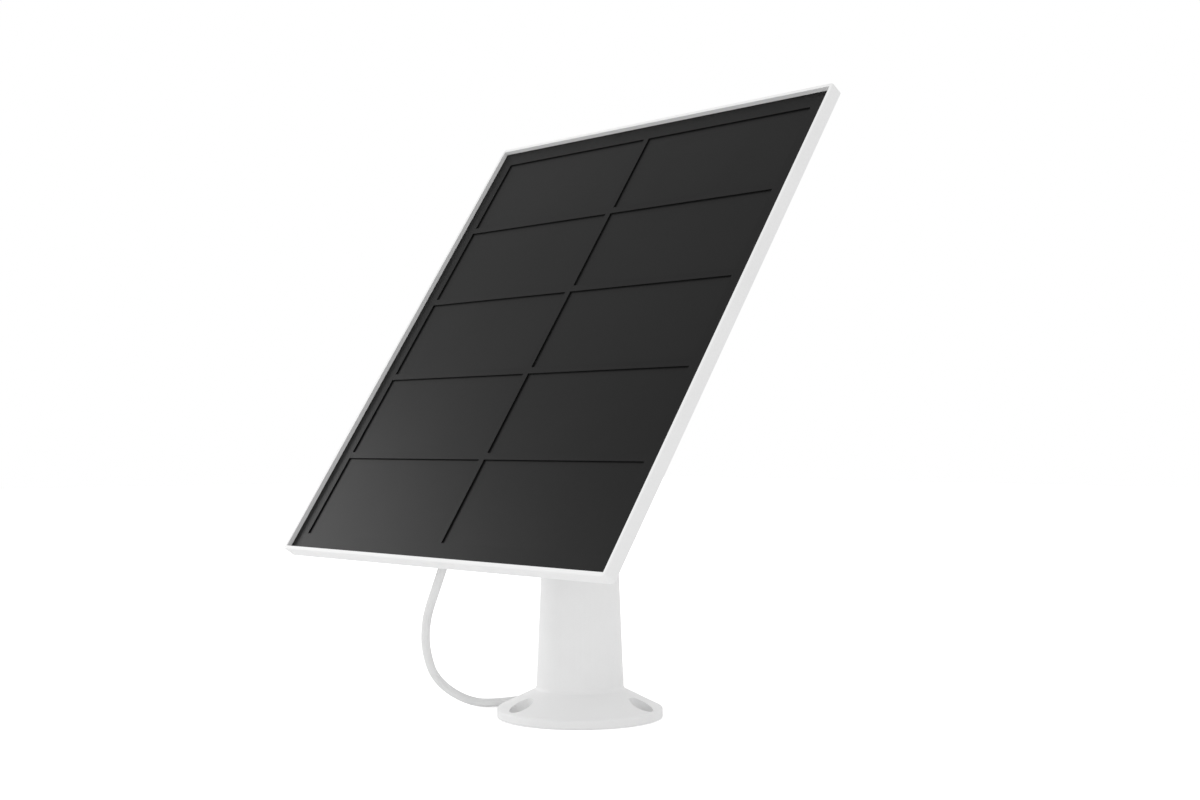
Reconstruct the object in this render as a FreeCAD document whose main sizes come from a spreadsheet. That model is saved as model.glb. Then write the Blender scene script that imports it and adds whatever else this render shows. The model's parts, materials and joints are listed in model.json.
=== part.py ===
import FreeCAD, Part

import math
import os

import Sketcher

# A small solar charging panel on a turning, tilting wall mount, with its lead.
# Frame: millimetres, +Z up, origin at the centre of the mount's underside.  The mount is
# turned about Z, and the panel tilts about the X axis through the pivot, so the panel's
# horizontal edge lies along X and its face looks towards -Y and up.

Vector = FreeCAD.Vector
Rotation = FreeCAD.Rotation
Placement = FreeCAD.Placement

SIZES = [
    # mount: one hollow moulding with a flared foot, a tapering column and a top deck
    ("base_radius", 30.0),
    ("rim_height", 3.0),
    ("rim_round", 0.7),
    ("flare_top", 10.0),
    ("column_foot_radius", 15.83),
    ("column_top_radius", 11.9),
    ("column_top", 106.0),
    ("column_wall", 2.6),
    ("column_round", 0.8),
    ("flare_round", 2.0),
    ("deck_thickness", 8.0),
    ("screw_inset", 5.5),
    ("screw_hole_radius", 2.2),
    ("counterbore_radius", 4.3),
    ("counterbore_floor", 2.4),
    ("first_screw_angle", 20.6),
    ("gasket_inner_radius", 15.0),
    ("gasket_width", 4.5),
    ("gasket_thickness", 1.2),
    # clearances
    ("running_clearance", 0.05),
    ("seat_clearance", 0.03),
    ("face_gap", 0.05),
    # pan joint at the column's top
    ("spigot_radius", 5.0),
    ("spigot_reach", 0.2),
    ("bush_wall", 1.5),
    ("bush_flange_inset", 1.5),
    ("bush_flange_thickness", 1.0),
    ("head_inset", 0.3),
    ("head_height", 2.95),
    ("shoulder_radius", 8.6),
    ("shoulder_height", 4.0),
    ("insert_radius", 3.6),
    ("insert_length", 10.0),
    ("bolt_radius", 2.5),
    ("bolt_length", 12.0),
    ("bolt_head_radius", 4.25),
    ("bolt_head_height", 4.0),
    ("bolt_socket_radius", 2.31),
    ("bolt_socket_depth", 2.5),
    ("washer_radius", 7.6),
    ("washer_thickness", 1.0),
    ("lock_washer_radius", 4.6),
    ("lock_washer_slit", 0.8),
    # tilt joint
    ("tongue_rise", 15.5),
    ("elevation", 33.18),
    ("knuckle_radius", 6.5),
    ("knuckle_gap", 0.3),
    ("tongue_thickness", 9.0),
    ("hinge_washer_thickness", 0.5),
    ("hinge_washer_radius", 6.0),
    ("ear_thickness", 4.5),
    ("bracket_width", 38.0),
    ("bracket_height", 30.0),
    ("bracket_plate", 2.2),
    ("bracket_corner", 3.0),
    ("bracket_screw_inset", 4.5),
    ("hex_flats", 8.0),
    ("hex_height", 3.5),
    ("hex_recess", 2.0),
    ("hex_clearance", 0.1),
    ("thread_gap", 0.4),
    ("knob_washer_radius", 5.6),
    ("knob_washer_thickness", 0.8),
    ("knob_gap", 0.6),
    ("knob_length", 11.0),
    ("knob_hub_length", 1.5),
    ("knob_hub_radius", 5.2),
    ("knob_groove_radius", 1.0),
    ("knob_insert_radius", 3.7),
    ("knob_insert_length", 8.0),
    # panel
    ("panel_width", 178.5),
    ("panel_height", 194.0),
    ("panel_corner", 1.6),
    ("panel_edge_round", 0.45),
    ("bezel_width", 1.5),
    ("frame_depth", 4.7),
    ("face_recess", 1.7),
    ("plate_clearance", 0.1),
    ("mask_thickness", 0.5),
    ("cell_thickness", 0.3),
    ("board_thickness", 0.8),
    ("film_thickness", 0.2),
    ("film_border", 4.0),
    ("cell_margin", 6.6),
    ("cell_web", 2.7),
    ("cell_overlap", 0.4),
    ("ribbon_width", 2.0),
    ("ribbon_thickness", 0.15),
    # housing on the back
    ("housing_width", 64.0),
    ("housing_height", 52.0),
    ("housing_shift", -6.0),
    ("housing_depth", 6.05),
    ("housing_wall", 1.6),
    ("housing_corner", 5.0),
    ("seal_width", 0.6),
    ("seal_depth", 0.6),
    ("housing_screw_inset", 5.0),
    ("housing_boss_radius", 2.6),
    ("bracket_boss_radius", 3.2),
    ("window_width", 36.0),
    ("window_height", 9.0),
    ("small_screw_radius", 1.1),
    ("small_head_radius", 2.1),
    ("small_head_height", 1.0),
    ("m3_radius", 1.5),
    ("m3_head_radius", 2.8),
    ("m3_head_height", 1.8),
    ("m3_insert_radius", 2.2),
    # electronics
    ("circuit_width", 42.0),
    ("circuit_height", 12.5),
    ("circuit_thickness", 1.0),
    ("circuit_rise", 10.0),
    ("circuit_standoff", 1.15),
    ("circuit_screw_x", 17.5),
    ("standoff_radius", 2.0),
    ("coil_size", 5.0),
    ("coil_gap", 0.4),
    ("coil_shift", 2.0),
    ("chip_height", 1.0),
    ("lead_radius", 0.5),
    ("lead_x", 8.0),
    # cord and its fittings
    ("cord_radius", 1.6),
    ("cord_x", -10.0),
    ("gland_gap", 0.1),
    ("gland_neck_radius", 2.1),
    ("gland_collar_radius", 2.55),
    ("gland_collar_length", 1.6),
    ("gland_tip_radius", 2.0),
    ("gland_length", 18.0),
    ("wire_radius", 0.4),
    ("wire_length", 4.0),
    ("wire_spacing", 1.4),
    ("hank_width", 30.4),
    ("hank_length", 79.0),
    ("hank_height", 12.8),
    ("hank_distance", 58.0),
    ("hank_heading", 137.73),
    ("hank_entry", 12.1),
    ("hank_corner", 1.4),
    ("tie_width", 6.0),
    ("tie_thickness", 0.8),
    ("plug_length", 19.0),
    ("plug_width", 10.6),
    ("plug_thickness", 6.2),
    ("plug_round", 2.2),
    ("boot_length", 9.0),
    ("boot_foot_radius", 2.9),
    ("shell_length", 6.6),
    ("shell_width", 8.3),
    ("shell_thickness", 2.5),
    ("shell_round", 1.2),
    ("shell_wall", 0.3),
]

CELL_COLUMNS = 2
CELL_ROWS = 5
RIBBON_STEPS = (-2, -1, 0, 1, 2)
KNOB_FLUTES = 12
THREAD_SHARE = 0.9
CHIP_ASPECT = 0.8
# Each chip's centre from the board's centre and its width, all in widths of the coil.
CHIPS = [(2.5, 0.6, 0.6), (2.5, -0.5, 0.8), (-2.6, 0.5, 0.7)]

# The cord's route from the gland's tip to the hank, chosen by hand, in the row frame.
CORD_POINTS = [
    (-10.2, -49.0, 71.5),
    (-12.3, -51.2, 59.0),
    (-17.5, -51.8, 47.8),
    (-24.8, -50.2, 38.0),
    (-32.6, -45.4, 29.0),
    (-40.3, -38.8, 21.5),
    (-45.2, -32.3, 13.0),
    (-44.8, -24.7, 6.0),
    (-39.8, -16.7, 1.6),
    (-35.4, -8.0, 1.6),
    (-35.2, 1.5, 1.6),
    (-37.6, 13.1, 1.6),
]
CORD_LEAD = 13.0
HANK_LEAD = 10.5


class Dim:
    """A measure that carries its value and the sheet formula that gives it."""

    def __init__(self, value, text):
        self.value = value
        self.text = text

    def combine(self, other, sign, value):
        """The measure that a sign between this one and another one gives."""
        return Dim(value, "(%s %s %s)" % (self.text, sign, text_of(other)))

    def __add__(self, other):
        return self.combine(other, "+", self.value + value_of(other))

    def __sub__(self, other):
        return self.combine(other, "-", self.value - value_of(other))

    def __mul__(self, other):
        return self.combine(other, "*", self.value * value_of(other))

    def __truediv__(self, other):
        return self.combine(other, "/", self.value / value_of(other))

    def __neg__(self):
        return self * -1.0


def value_of(measure):
    """The number behind a measure or a plain number."""
    return measure.value if isinstance(measure, Dim) else float(measure)


def text_of(measure):
    """The formula behind a measure or a plain number."""
    return measure.text if isinstance(measure, Dim) else "%.6f" % measure


class Sheet:
    """The spreadsheet of driving sizes, read by name as measures."""

    def __init__(self, document):
        self.cells = document.addObject("Spreadsheet::Sheet", "Sizes")
        for line, (name, value) in enumerate(SIZES, start=1):
            self.cells.set("A%d" % line, name.replace("_", " "))
            self.cells.set("B%d" % line, str(value))
            self.cells.setAlias("B%d" % line, name)
        document.recompute()

    def __getattr__(self, name):
        return Dim(float(getattr(self.cells, name)), "Sizes." + name)


doc = FreeCAD.newDocument("solar_panel")
d = Sheet(doc)
nodes = []


# ---- levels, radii and places that several pieces share ------------------------------------


def four_corners(half_x, half_y, y=0.0):
    """The four places at plus and minus two measures about a centre in Y."""
    return [(half_x * sx, half_y * sy + y) for sx in (-1.0, 1.0) for sy in (-1.0, 1.0)]



deck_bottom = d.column_top - d.deck_thickness
bush_bore = d.spigot_radius + d.running_clearance
bush_outer = bush_bore + d.bush_wall
deck_bore = bush_outer + d.seat_clearance
bush_top = d.column_top + d.bush_flange_thickness
bush_flange_radius = d.column_top_radius - d.bush_flange_inset
screw_circle_radius = d.base_radius - d.screw_inset
head_radius = d.column_top_radius - d.head_inset
head_bottom = bush_top + d.face_gap
head_shoulder = head_bottom + d.head_height
head_top = head_shoulder + d.shoulder_height
pivot_height = head_top + d.tongue_rise
spigot_end = deck_bottom + d.spigot_reach
insert_top = spigot_end + d.insert_length
insert_seat = d.insert_radius + d.seat_clearance
bolt_hole = d.bolt_radius + d.seat_clearance
friction_top = deck_bottom - d.face_gap
friction_low = friction_top - d.washer_thickness
lock_low = friction_low - d.washer_thickness
stack_low = lock_low - d.washer_thickness

hinge_bore = d.bolt_radius + d.running_clearance
tongue_half = d.tongue_thickness * 0.5
ear_inner = tongue_half + d.face_gap + d.hinge_washer_thickness
ear_outer = ear_inner + d.ear_thickness
bracket_low = d.knuckle_radius + d.knuckle_gap
bracket_high = bracket_low + d.bracket_plate
knob_radius = bracket_low - d.knob_gap
knob_start = ear_outer + d.knob_washer_thickness + d.face_gap
knob_insert_end = knob_start + d.knob_insert_length
hinge_thread_end = knob_insert_end - d.thread_gap

housing_back = bracket_high
housing_inside = housing_back + d.housing_wall
frame_back = housing_back + d.housing_depth
rim = frame_back + d.frame_depth
mask_low = rim - d.face_recess - d.mask_thickness
cell_low = mask_low - d.cell_thickness
board_low = cell_low - d.board_thickness
film_low = board_low - d.film_thickness
opening_width = d.panel_width - d.bezel_width * 2.0
opening_height = d.panel_height - d.bezel_width * 2.0
plate_width = opening_width - d.plate_clearance * 2.0
plate_height = opening_height - d.plate_clearance * 2.0
cells_width = opening_width - d.cell_margin * 2.0
cells_height = opening_height - d.cell_margin * 2.0
cell_width = (cells_width - d.cell_web * (CELL_COLUMNS - 1)) / CELL_COLUMNS
cell_height = (cells_height - d.cell_web * (CELL_ROWS - 1)) / CELL_ROWS
column_pitch = cell_width + d.cell_web
row_pitch = cell_height + d.cell_web
ribbon_spacing = cell_width / (len(RIBBON_STEPS) + 1)
boss_height = frame_back - housing_inside
gland_wall = -(d.housing_height * 0.5) + d.housing_shift
cord_axis = frame_back - d.seal_depth - d.gland_neck_radius - d.gland_gap
circuit_top = frame_back - d.circuit_standoff
circuit_low = circuit_top - d.circuit_thickness
circuit_y = gland_wall + d.circuit_rise
coil_height = circuit_low - housing_inside - d.coil_gap
housing_corners = four_corners(
    d.housing_width * 0.5 - d.housing_screw_inset,
    d.housing_height * 0.5 - d.housing_screw_inset,
    d.housing_shift,
)
bracket_corners = four_corners(
    d.bracket_width * 0.5 - d.bracket_screw_inset,
    d.bracket_height * 0.5 - d.bracket_screw_inset,
)
circuit_screws = [(d.circuit_screw_x * side, circuit_y) for side in (-1.0, 1.0)]


# ---- builders ---------------------------------------------------------------------------


def bind(thing, name, measure):
    """Sets a property from a measure and ties it to the sheet."""
    setattr(thing, name, value_of(measure))
    if isinstance(measure, Dim):
        thing.setExpression(name, measure.text)


def placed(x=0.0, y=0.0, z=0.0, axis=Vector(0, 0, 1), angle=0.0):
    """A placement from measures or numbers."""
    return Placement(Vector(value_of(x), value_of(y), value_of(z)), Rotation(axis, value_of(angle)))


UPRIGHT = placed()
PANEL = placed(z=pivot_height, axis=Vector(1, 0, 0), angle=-d.elevation + 90.0)
ALONG_X = placed(axis=Vector(0, 1, 0), angle=90.0)
HANK = placed(axis=Vector(0, 0, 1), angle=d.hank_heading)


def new_body(label, placement=UPRIGHT):
    """A part-design body that is one node."""
    body = doc.addObject("PartDesign::Body", label)
    body.Label = label
    body.Placement = placement
    nodes.append(body)
    return body


def new_sketch(body, role="XY_Plane", lift=0.0, turn=0.0):
    """A sketch on one of the body's own origin planes, lifted and turned on it."""
    plane = next(f for f in body.Origin.OriginFeatures if f.Role == role)
    sketch = body.newObject("Sketcher::SketchObject", body.Name + "_sketch")
    sketch.AttachmentSupport = [(plane, "")]
    sketch.MapMode = "FlatFace"
    sketch.AttachmentOffset = placed(z=lift, angle=turn)
    if isinstance(lift, Dim):
        sketch.setExpression("AttachmentOffset.Base.z", lift.text)
    return sketch


def pin_point(sketch, line, end, measure, kind, axis):
    """Fixes one coordinate of a point, on an axis or at a measure from the origin."""
    if not isinstance(measure, Dim) and measure == 0:
        sketch.addConstraint(Sketcher.Constraint("PointOnObject", line, end, axis))
        return
    number = sketch.addConstraint(
        Sketcher.Constraint(kind, -1, 1, line, end, value_of(measure))
    )
    if isinstance(measure, Dim):
        sketch.setExpression("Constraints[%d]" % number, measure.text)


def draw_outline(sketch, corners):
    """A closed outline of straight lines through corners given as measures."""
    places = [Vector(value_of(x), value_of(y), 0) for x, y in corners]
    first = sketch.GeometryCount
    count = len(places)
    for i in range(count):
        sketch.addGeometry(Part.LineSegment(places[i], places[(i + 1) % count]), False)
    for i in range(count):
        following = first + (i + 1) % count
        sketch.addConstraint(Sketcher.Constraint("Coincident", first + i, 2, following, 1))
    for i, (x, y) in enumerate(corners):
        pin_point(sketch, first + i, 1, x, "DistanceX", -2)
        pin_point(sketch, first + i, 1, y, "DistanceY", -1)


def draw_rectangle(sketch, width, height, x=0.0, y=0.0):
    """A rectangle about a centre."""
    half_x, half_y = width * 0.5, height * 0.5
    left, right = -half_x + x, half_x + x
    low, high = -half_y + y, half_y + y
    draw_outline(sketch, [(left, low), (right, low), (right, high), (left, high)])


def draw_circle(sketch, radius, x=0.0, y=0.0):
    """A circle about a centre."""
    circle = Part.Circle(Vector(value_of(x), value_of(y), 0), Vector(0, 0, 1), value_of(radius))
    index = sketch.addGeometry(circle, False)
    number = sketch.addConstraint(Sketcher.Constraint("Radius", index, value_of(radius)))
    if isinstance(radius, Dim):
        sketch.setExpression("Constraints[%d]" % number, radius.text)
    pin_point(sketch, index, 3, x, "DistanceX", -2)
    pin_point(sketch, index, 3, y, "DistanceY", -1)


def draw_hexagon(sketch, radius):
    """A regular hexagon about the origin, given the radius of its corners."""
    corners = []
    for i in range(6):
        angle = math.radians(60 * i)
        x = radius * round(math.cos(angle), 6)
        y = 0.0 if i in (0, 3) else radius * round(math.sin(angle), 6)
        corners.append((x, y))
    draw_outline(sketch, corners)


def extrude(body, sketch, length, back=False, middle=False, kind="Pad"):
    """Pads a sketch along its plane's normal, or the other way, or both ways."""
    feature = body.newObject("PartDesign::" + kind, body.Name + "_" + kind.lower())
    feature.Profile = sketch
    bind(feature, "Length", length)
    feature.Reversed = back
    feature.Midplane = middle
    return feature


def cut(body, sketch, length, along=True, middle=False):
    """Pockets a sketch along its plane's normal, or against it, and checks that it cut."""
    doc.recompute()
    before = body.Shape.Volume
    feature = extrude(body, sketch, length, back=along, middle=middle, kind="Pocket")
    doc.recompute()
    if not body.Shape.Volume < before - 1e-6:
        raise ValueError("a pocket in %s cut nothing" % body.Label)
    return feature


def edges_where(body, test):
    """The names of a body's edges that pass a test."""
    doc.recompute()
    return ["Edge%d" % (i + 1) for i, edge in enumerate(body.Tip.Shape.Edges) if test(edge)]


def round_edges(body, radius, test):
    """Rounds the body's edges that pass a test."""
    names = edges_where(body, test)
    base = body.Tip
    feature = body.newObject("PartDesign::Fillet", body.Name + "_fillet")
    feature.Base = (base, names)
    bind(feature, "Radius", radius)
    return feature


def circle_at(radius, height):
    """A test for a circular edge about Z of a radius at a height."""

    def test(edge):
        curve = edge.Curve
        return (
            isinstance(curve, Part.Circle)
            and abs(curve.Radius - value_of(radius)) < 0.02
            and abs(curve.Center.z - value_of(height)) < 0.02
        )

    return test


def upright_corner(half_x, half_y, x=0.0, y=0.0):
    """A test for an edge that runs along the body's Z at the corners of a rectangle."""

    def test(edge):
        first, last = edge.Vertexes[0].Point, edge.Vertexes[-1].Point
        along = abs(first.x - last.x) < 1e-6 and abs(first.y - last.y) < 1e-6
        at_x = abs(abs(first.x - value_of(x)) - value_of(half_x)) < 0.02
        at_y = abs(abs(first.y - value_of(y)) - value_of(half_y)) < 0.02
        return along and at_x and at_y

    return test


def turned(label, outline, placement=UPRIGHT):
    """A body turned about Z from an outline of (radius, height) measures."""
    body = new_body(label, placement)
    sketch = new_sketch(body, "XZ_Plane")
    draw_outline(sketch, outline)
    feature = body.newObject("PartDesign::Revolution", label + "_turned")
    feature.Profile = sketch
    feature.ReferenceAxis = (sketch, ["V_Axis"])
    feature.Angle = 360
    body.Tip = feature
    return body


def ring(label, inner, outer, low, high, placement=UPRIGHT):
    """A plain turned ring."""
    return turned(label, [(inner, low), (outer, low), (outer, high), (inner, high)], placement)


def plate(label, width, height, low, thickness, placement=PANEL, x=0.0, y=0.0):
    """A flat rectangular body."""
    body = new_body(label, placement)
    sketch = new_sketch(body, lift=low)
    draw_rectangle(sketch, width, height, x, y)
    extrude(body, sketch, thickness)
    return body


def settle(thing, x, y, z, rotation=Rotation()):
    """Places a primitive at measures, tied to the sheet."""
    thing.Placement = Placement(Vector(value_of(x), value_of(y), value_of(z)), rotation)
    for letter, measure in zip("xyz", (x, y, z)):
        if isinstance(measure, Dim):
            thing.setExpression("Placement.Base." + letter, measure.text)


def box(name, width, height, thickness, x, y, z):
    """A box primitive about a centre in X and Y, standing on Z."""
    thing = doc.addObject("Part::Box", name)
    bind(thing, "Length", width)
    bind(thing, "Width", height)
    bind(thing, "Height", thickness)
    settle(thing, width * -0.5 + x, height * -0.5 + y, z)
    return thing


def cylinder(name, radius, length, x, y, z, rotation=Rotation()):
    """A cylinder primitive along its own Z."""
    thing = doc.addObject("Part::Cylinder", name)
    bind(thing, "Radius", radius)
    bind(thing, "Height", length)
    settle(thing, x, y, z, rotation)
    return thing


def group(label, members, placement=PANEL):
    """Several like solids in one node."""
    thing = doc.addObject("Part::Compound", label)
    thing.Label = label
    thing.Links = members
    thing.Placement = placement
    nodes.append(thing)
    return thing


def screws(label, places, head_radius, head_height, radius, length, seat, placement=PANEL):
    """Screws along Z whose heads hang below a seat and whose shanks rise from it."""
    members = []
    for number, (x, y) in enumerate(places, start=1):
        name = "%s_%d" % (label, number)
        head = cylinder(name + "_head", head_radius, head_height, x, y, seat - head_height)
        shank = cylinder(name + "_shank", radius, length, x, y, seat)
        screw = doc.addObject("Part::Fuse", name)
        screw.Base = head
        screw.Tool = shank
        members.append(screw)
    return group(label, members, placement)


def cell_places():
    """The centre of each cell pocket."""
    for column in range(CELL_COLUMNS):
        for line in range(CELL_ROWS):
            x = column_pitch * (column - (CELL_COLUMNS - 1) / 2)
            y = row_pitch * (line - (CELL_ROWS - 1) / 2)
            yield x, y


# ---- mount -----------------------------------------------------------------------------


def make_mount():
    """The hollow moulded mount: foot, flare, column and deck, with three screw holes."""
    cavity_foot = d.column_foot_radius - d.column_wall
    cavity_top = d.column_top_radius - d.column_wall
    body = turned(
        "mount_base",
        [
            (cavity_foot, 0.0),
            (d.base_radius, 0.0),
            (d.base_radius, d.rim_height),
            (d.column_foot_radius, d.flare_top),
            (d.column_top_radius, d.column_top),
            (deck_bore, d.column_top),
            (deck_bore, deck_bottom),
            (cavity_top, deck_bottom),
        ],
    )
    round_edges(body, d.rim_round, circle_at(d.base_radius, d.rim_height))
    round_edges(body, d.flare_round, circle_at(d.column_foot_radius, d.flare_top))
    round_edges(body, d.column_round, circle_at(d.column_top_radius, d.column_top))
    groove = new_sketch(body)
    draw_circle(groove, d.gasket_inner_radius)
    draw_circle(groove, d.gasket_inner_radius + d.gasket_width)
    cut(body, groove, d.gasket_thickness)
    through = new_sketch(body, turn=d.first_screw_angle)
    draw_circle(through, d.screw_hole_radius, screw_circle_radius)
    hole = cut(body, through, d.flare_top)
    wide = new_sketch(body, lift=d.counterbore_floor, turn=d.first_screw_angle)
    draw_circle(wide, d.counterbore_radius, screw_circle_radius)
    counterbore = cut(body, wide, d.flare_top)
    pattern = body.newObject("PartDesign::PolarPattern", "mount_screw_holes")
    pattern.Originals = [hole, counterbore]
    pattern.Axis = (through, ["N_Axis"])
    pattern.Angle = 360
    pattern.Occurrences = 3
    body.Tip = pattern


def make_gasket():
    """The foam ring in the mount's underside."""
    inner = d.gasket_inner_radius + d.seat_clearance
    outer = d.gasket_inner_radius + d.gasket_width - d.seat_clearance
    ring("base_gasket", inner, outer, 0.0, d.gasket_thickness)


def make_pan_joint():
    """The bush in the deck and all that turns in it."""
    turned(
        "swivel_bush",
        [
            (bush_bore, deck_bottom),
            (bush_outer, deck_bottom),
            (bush_outer, d.column_top),
            (bush_flange_radius, d.column_top),
            (bush_flange_radius, bush_top),
            (bush_bore, bush_top),
        ],
    )
    body = turned(
        "swivel_head",
        [
            (insert_seat, spigot_end),
            (d.spigot_radius, spigot_end),
            (d.spigot_radius, head_bottom),
            (head_radius, head_bottom),
            (head_radius, head_shoulder),
            (d.shoulder_radius, head_top),
            (0.0, head_top),
            (0.0, insert_top),
            (insert_seat, insert_top),
        ],
    )
    tongue = new_sketch(body, "YZ_Plane")
    width = d.knuckle_radius
    draw_outline(
        tongue,
        [
            (-width, head_shoulder),
            (width, head_shoulder),
            (width, pivot_height),
            (-width, pivot_height),
        ],
    )
    extrude(body, tongue, d.tongue_thickness, middle=True)
    knuckle = new_sketch(body, "YZ_Plane")
    draw_circle(knuckle, d.knuckle_radius, 0.0, pivot_height)
    extrude(body, knuckle, d.tongue_thickness, middle=True)
    bore = new_sketch(body, "YZ_Plane")
    draw_circle(bore, hinge_bore, 0.0, pivot_height)
    body.Tip = cut(body, bore, d.tongue_thickness * 2.0, middle=True)
    ring("swivel_insert", bolt_hole, d.insert_radius, spigot_end, insert_top)
    ring("swivel_friction_washer", bolt_hole, d.washer_radius, friction_low, friction_top)
    washer = ring("swivel_lock_washer", bolt_hole, d.lock_washer_radius, lock_low, friction_low)
    slit = new_sketch(washer, lift=lock_low)
    draw_rectangle(slit, d.lock_washer_radius, d.lock_washer_slit, d.lock_washer_radius * 0.8)
    washer.Tip = cut(washer, slit, d.washer_thickness)
    ring("swivel_flat_washer", bolt_hole, d.washer_radius, stack_low, lock_low)
    head_low = stack_low - d.bolt_head_height
    bolt = turned(
        "swivel_bolt",
        [
            (0.0, head_low),
            (d.bolt_head_radius, head_low),
            (d.bolt_head_radius, stack_low),
            (d.bolt_radius, stack_low),
            (d.bolt_radius, stack_low + d.bolt_length),
            (0.0, stack_low + d.bolt_length),
        ],
    )
    socket = new_sketch(bolt, lift=head_low)
    draw_hexagon(socket, d.bolt_socket_radius)
    bolt.Tip = cut(bolt, socket, d.bolt_socket_depth)


# ---- tilt joint ------------------------------------------------------------------------


def make_bracket():
    """The clevis on the panel's back, with a hexagonal seat for the hinge bolt's head."""
    body = plate("tilt_bracket", d.bracket_width, d.bracket_height, bracket_low, d.bracket_plate)
    round_edges(
        body, d.bracket_corner, upright_corner(d.bracket_width * 0.5, d.bracket_height * 0.5)
    )
    width = d.knuckle_radius
    for side in (ear_inner, -ear_outer):
        ear = new_sketch(body, "YZ_Plane", lift=side)
        low_corners = [(-width, 0.0), (width, 0.0)]
        draw_outline(ear, low_corners + [(width, bracket_high), (-width, bracket_high)])
        extrude(body, ear, d.ear_thickness)
        eye = new_sketch(body, "YZ_Plane", lift=side)
        draw_circle(eye, d.knuckle_radius)
        body.Tip = extrude(body, eye, d.ear_thickness)
    bore = new_sketch(body, "YZ_Plane")
    draw_circle(bore, bolt_hole)
    cut(body, bore, d.bracket_width, middle=True)
    seat = new_sketch(body, "YZ_Plane", lift=-ear_outer, turn=90.0)
    draw_hexagon(seat, (d.hex_flats * 0.5 + d.hex_clearance) / round(math.cos(math.pi / 6), 6))
    cut(body, seat, d.hex_recess)
    holes = new_sketch(body, lift=bracket_low)
    for x, y in bracket_corners:
        draw_circle(holes, d.m3_radius + d.hex_clearance, x, y)
    body.Tip = cut(body, holes, d.bracket_plate)


def make_hinge_bolt():
    """The hexagon bolt that the panel turns on, its washers and the knob's washer."""
    along = PANEL.multiply(ALONG_X)
    head_high = -ear_outer + d.hex_recess
    bolt = new_body("hinge_bolt", along)
    head = new_sketch(bolt, lift=head_high)
    draw_hexagon(head, d.hex_flats * 0.5 / round(math.cos(math.pi / 6), 6))
    extrude(bolt, head, d.hex_height, back=True)
    shank = new_sketch(bolt, lift=head_high)
    draw_circle(shank, d.bolt_radius)
    bolt.Tip = extrude(bolt, shank, hinge_thread_end - head_high)
    inner = tongue_half + d.face_gap
    outer = d.hinge_washer_radius
    ring("hinge_washer_right", bolt_hole, outer, inner, ear_inner, along)
    ring("hinge_washer_left", bolt_hole, outer, -ear_inner, -inner, along)
    knob_side = ear_outer + d.knob_washer_thickness
    ring("knob_washer", bolt_hole, d.knob_washer_radius, ear_outer, knob_side, along)


def make_knob():
    """The fluted clamp knob and the threaded insert in it."""
    along = PANEL.multiply(ALONG_X)
    hub_end = knob_start + d.knob_hub_length
    end = knob_start + d.knob_length
    seat = d.knob_insert_radius + d.seat_clearance
    body = turned(
        "tilt_knob",
        [
            (seat, knob_start),
            (d.knob_hub_radius, knob_start),
            (d.knob_hub_radius, hub_end),
            (knob_radius, hub_end),
            (knob_radius, end),
            (0.0, end),
            (0.0, knob_insert_end),
            (seat, knob_insert_end),
        ],
        along,
    )
    flute = new_sketch(body, lift=hub_end)
    draw_circle(flute, d.knob_groove_radius, knob_radius + d.knob_groove_radius * 0.4)
    groove = cut(body, flute, d.knob_length)
    pattern = body.newObject("PartDesign::PolarPattern", "knob_flutes")
    pattern.Originals = [groove]
    pattern.Axis = (flute, ["N_Axis"])
    pattern.Angle = 360
    pattern.Occurrences = KNOB_FLUTES
    body.Tip = pattern
    hole = d.bolt_radius + d.running_clearance
    ring("knob_insert", hole, d.knob_insert_radius, knob_start, knob_insert_end, along)


# ---- panel -----------------------------------------------------------------------------


def make_frame():
    """The white tray that holds the cells, with bosses and standoffs on its back."""
    body = plate("panel_frame", d.panel_width, d.panel_height, frame_back, d.frame_depth)
    half_x, half_y = d.panel_width * 0.5, d.panel_height * 0.5
    round_edges(body, d.panel_corner, upright_corner(half_x, half_y))
    recess = new_sketch(body, lift=film_low)
    draw_rectangle(recess, opening_width, opening_height)
    cut(body, recess, d.frame_depth)
    window = new_sketch(body, lift=frame_back)
    draw_rectangle(window, d.window_width, d.window_height, 0.0, circuit_y)
    cut(body, window, d.frame_depth)
    bosses = new_sketch(body, lift=housing_inside)
    for x, y in housing_corners:
        draw_circle(bosses, d.housing_boss_radius, x, y)
    for x, y in bracket_corners:
        draw_circle(bosses, d.bracket_boss_radius, x, y)
    extrude(body, bosses, boss_height)
    posts = new_sketch(body, lift=circuit_top)
    for x, y in circuit_screws:
        draw_circle(posts, d.standoff_radius, x, y)
    extrude(body, posts, d.circuit_standoff)
    pilots = new_sketch(body, lift=housing_inside)
    for x, y in housing_corners:
        draw_circle(pilots, d.small_screw_radius + d.seat_clearance, x, y)
    for x, y in bracket_corners:
        draw_circle(pilots, d.m3_insert_radius + d.seat_clearance, x, y)
    cut(body, pilots, boss_height)
    taps = new_sketch(body, lift=circuit_top)
    for x, y in circuit_screws:
        draw_circle(taps, d.small_screw_radius + d.seat_clearance, x, y)
    cut(body, taps, d.circuit_standoff)

    round_edges(body, d.panel_edge_round, front_corner)


def front_corner(edge):
    """Whether an edge is one of the four corner arcs round the frame's front."""
    level = value_of(rim)
    bounds = edge.BoundBox
    in_front = max(abs(bounds.ZMin - level), abs(bounds.ZMax - level)) < 0.01
    return in_front and isinstance(edge.Curve, Part.Circle)


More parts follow.
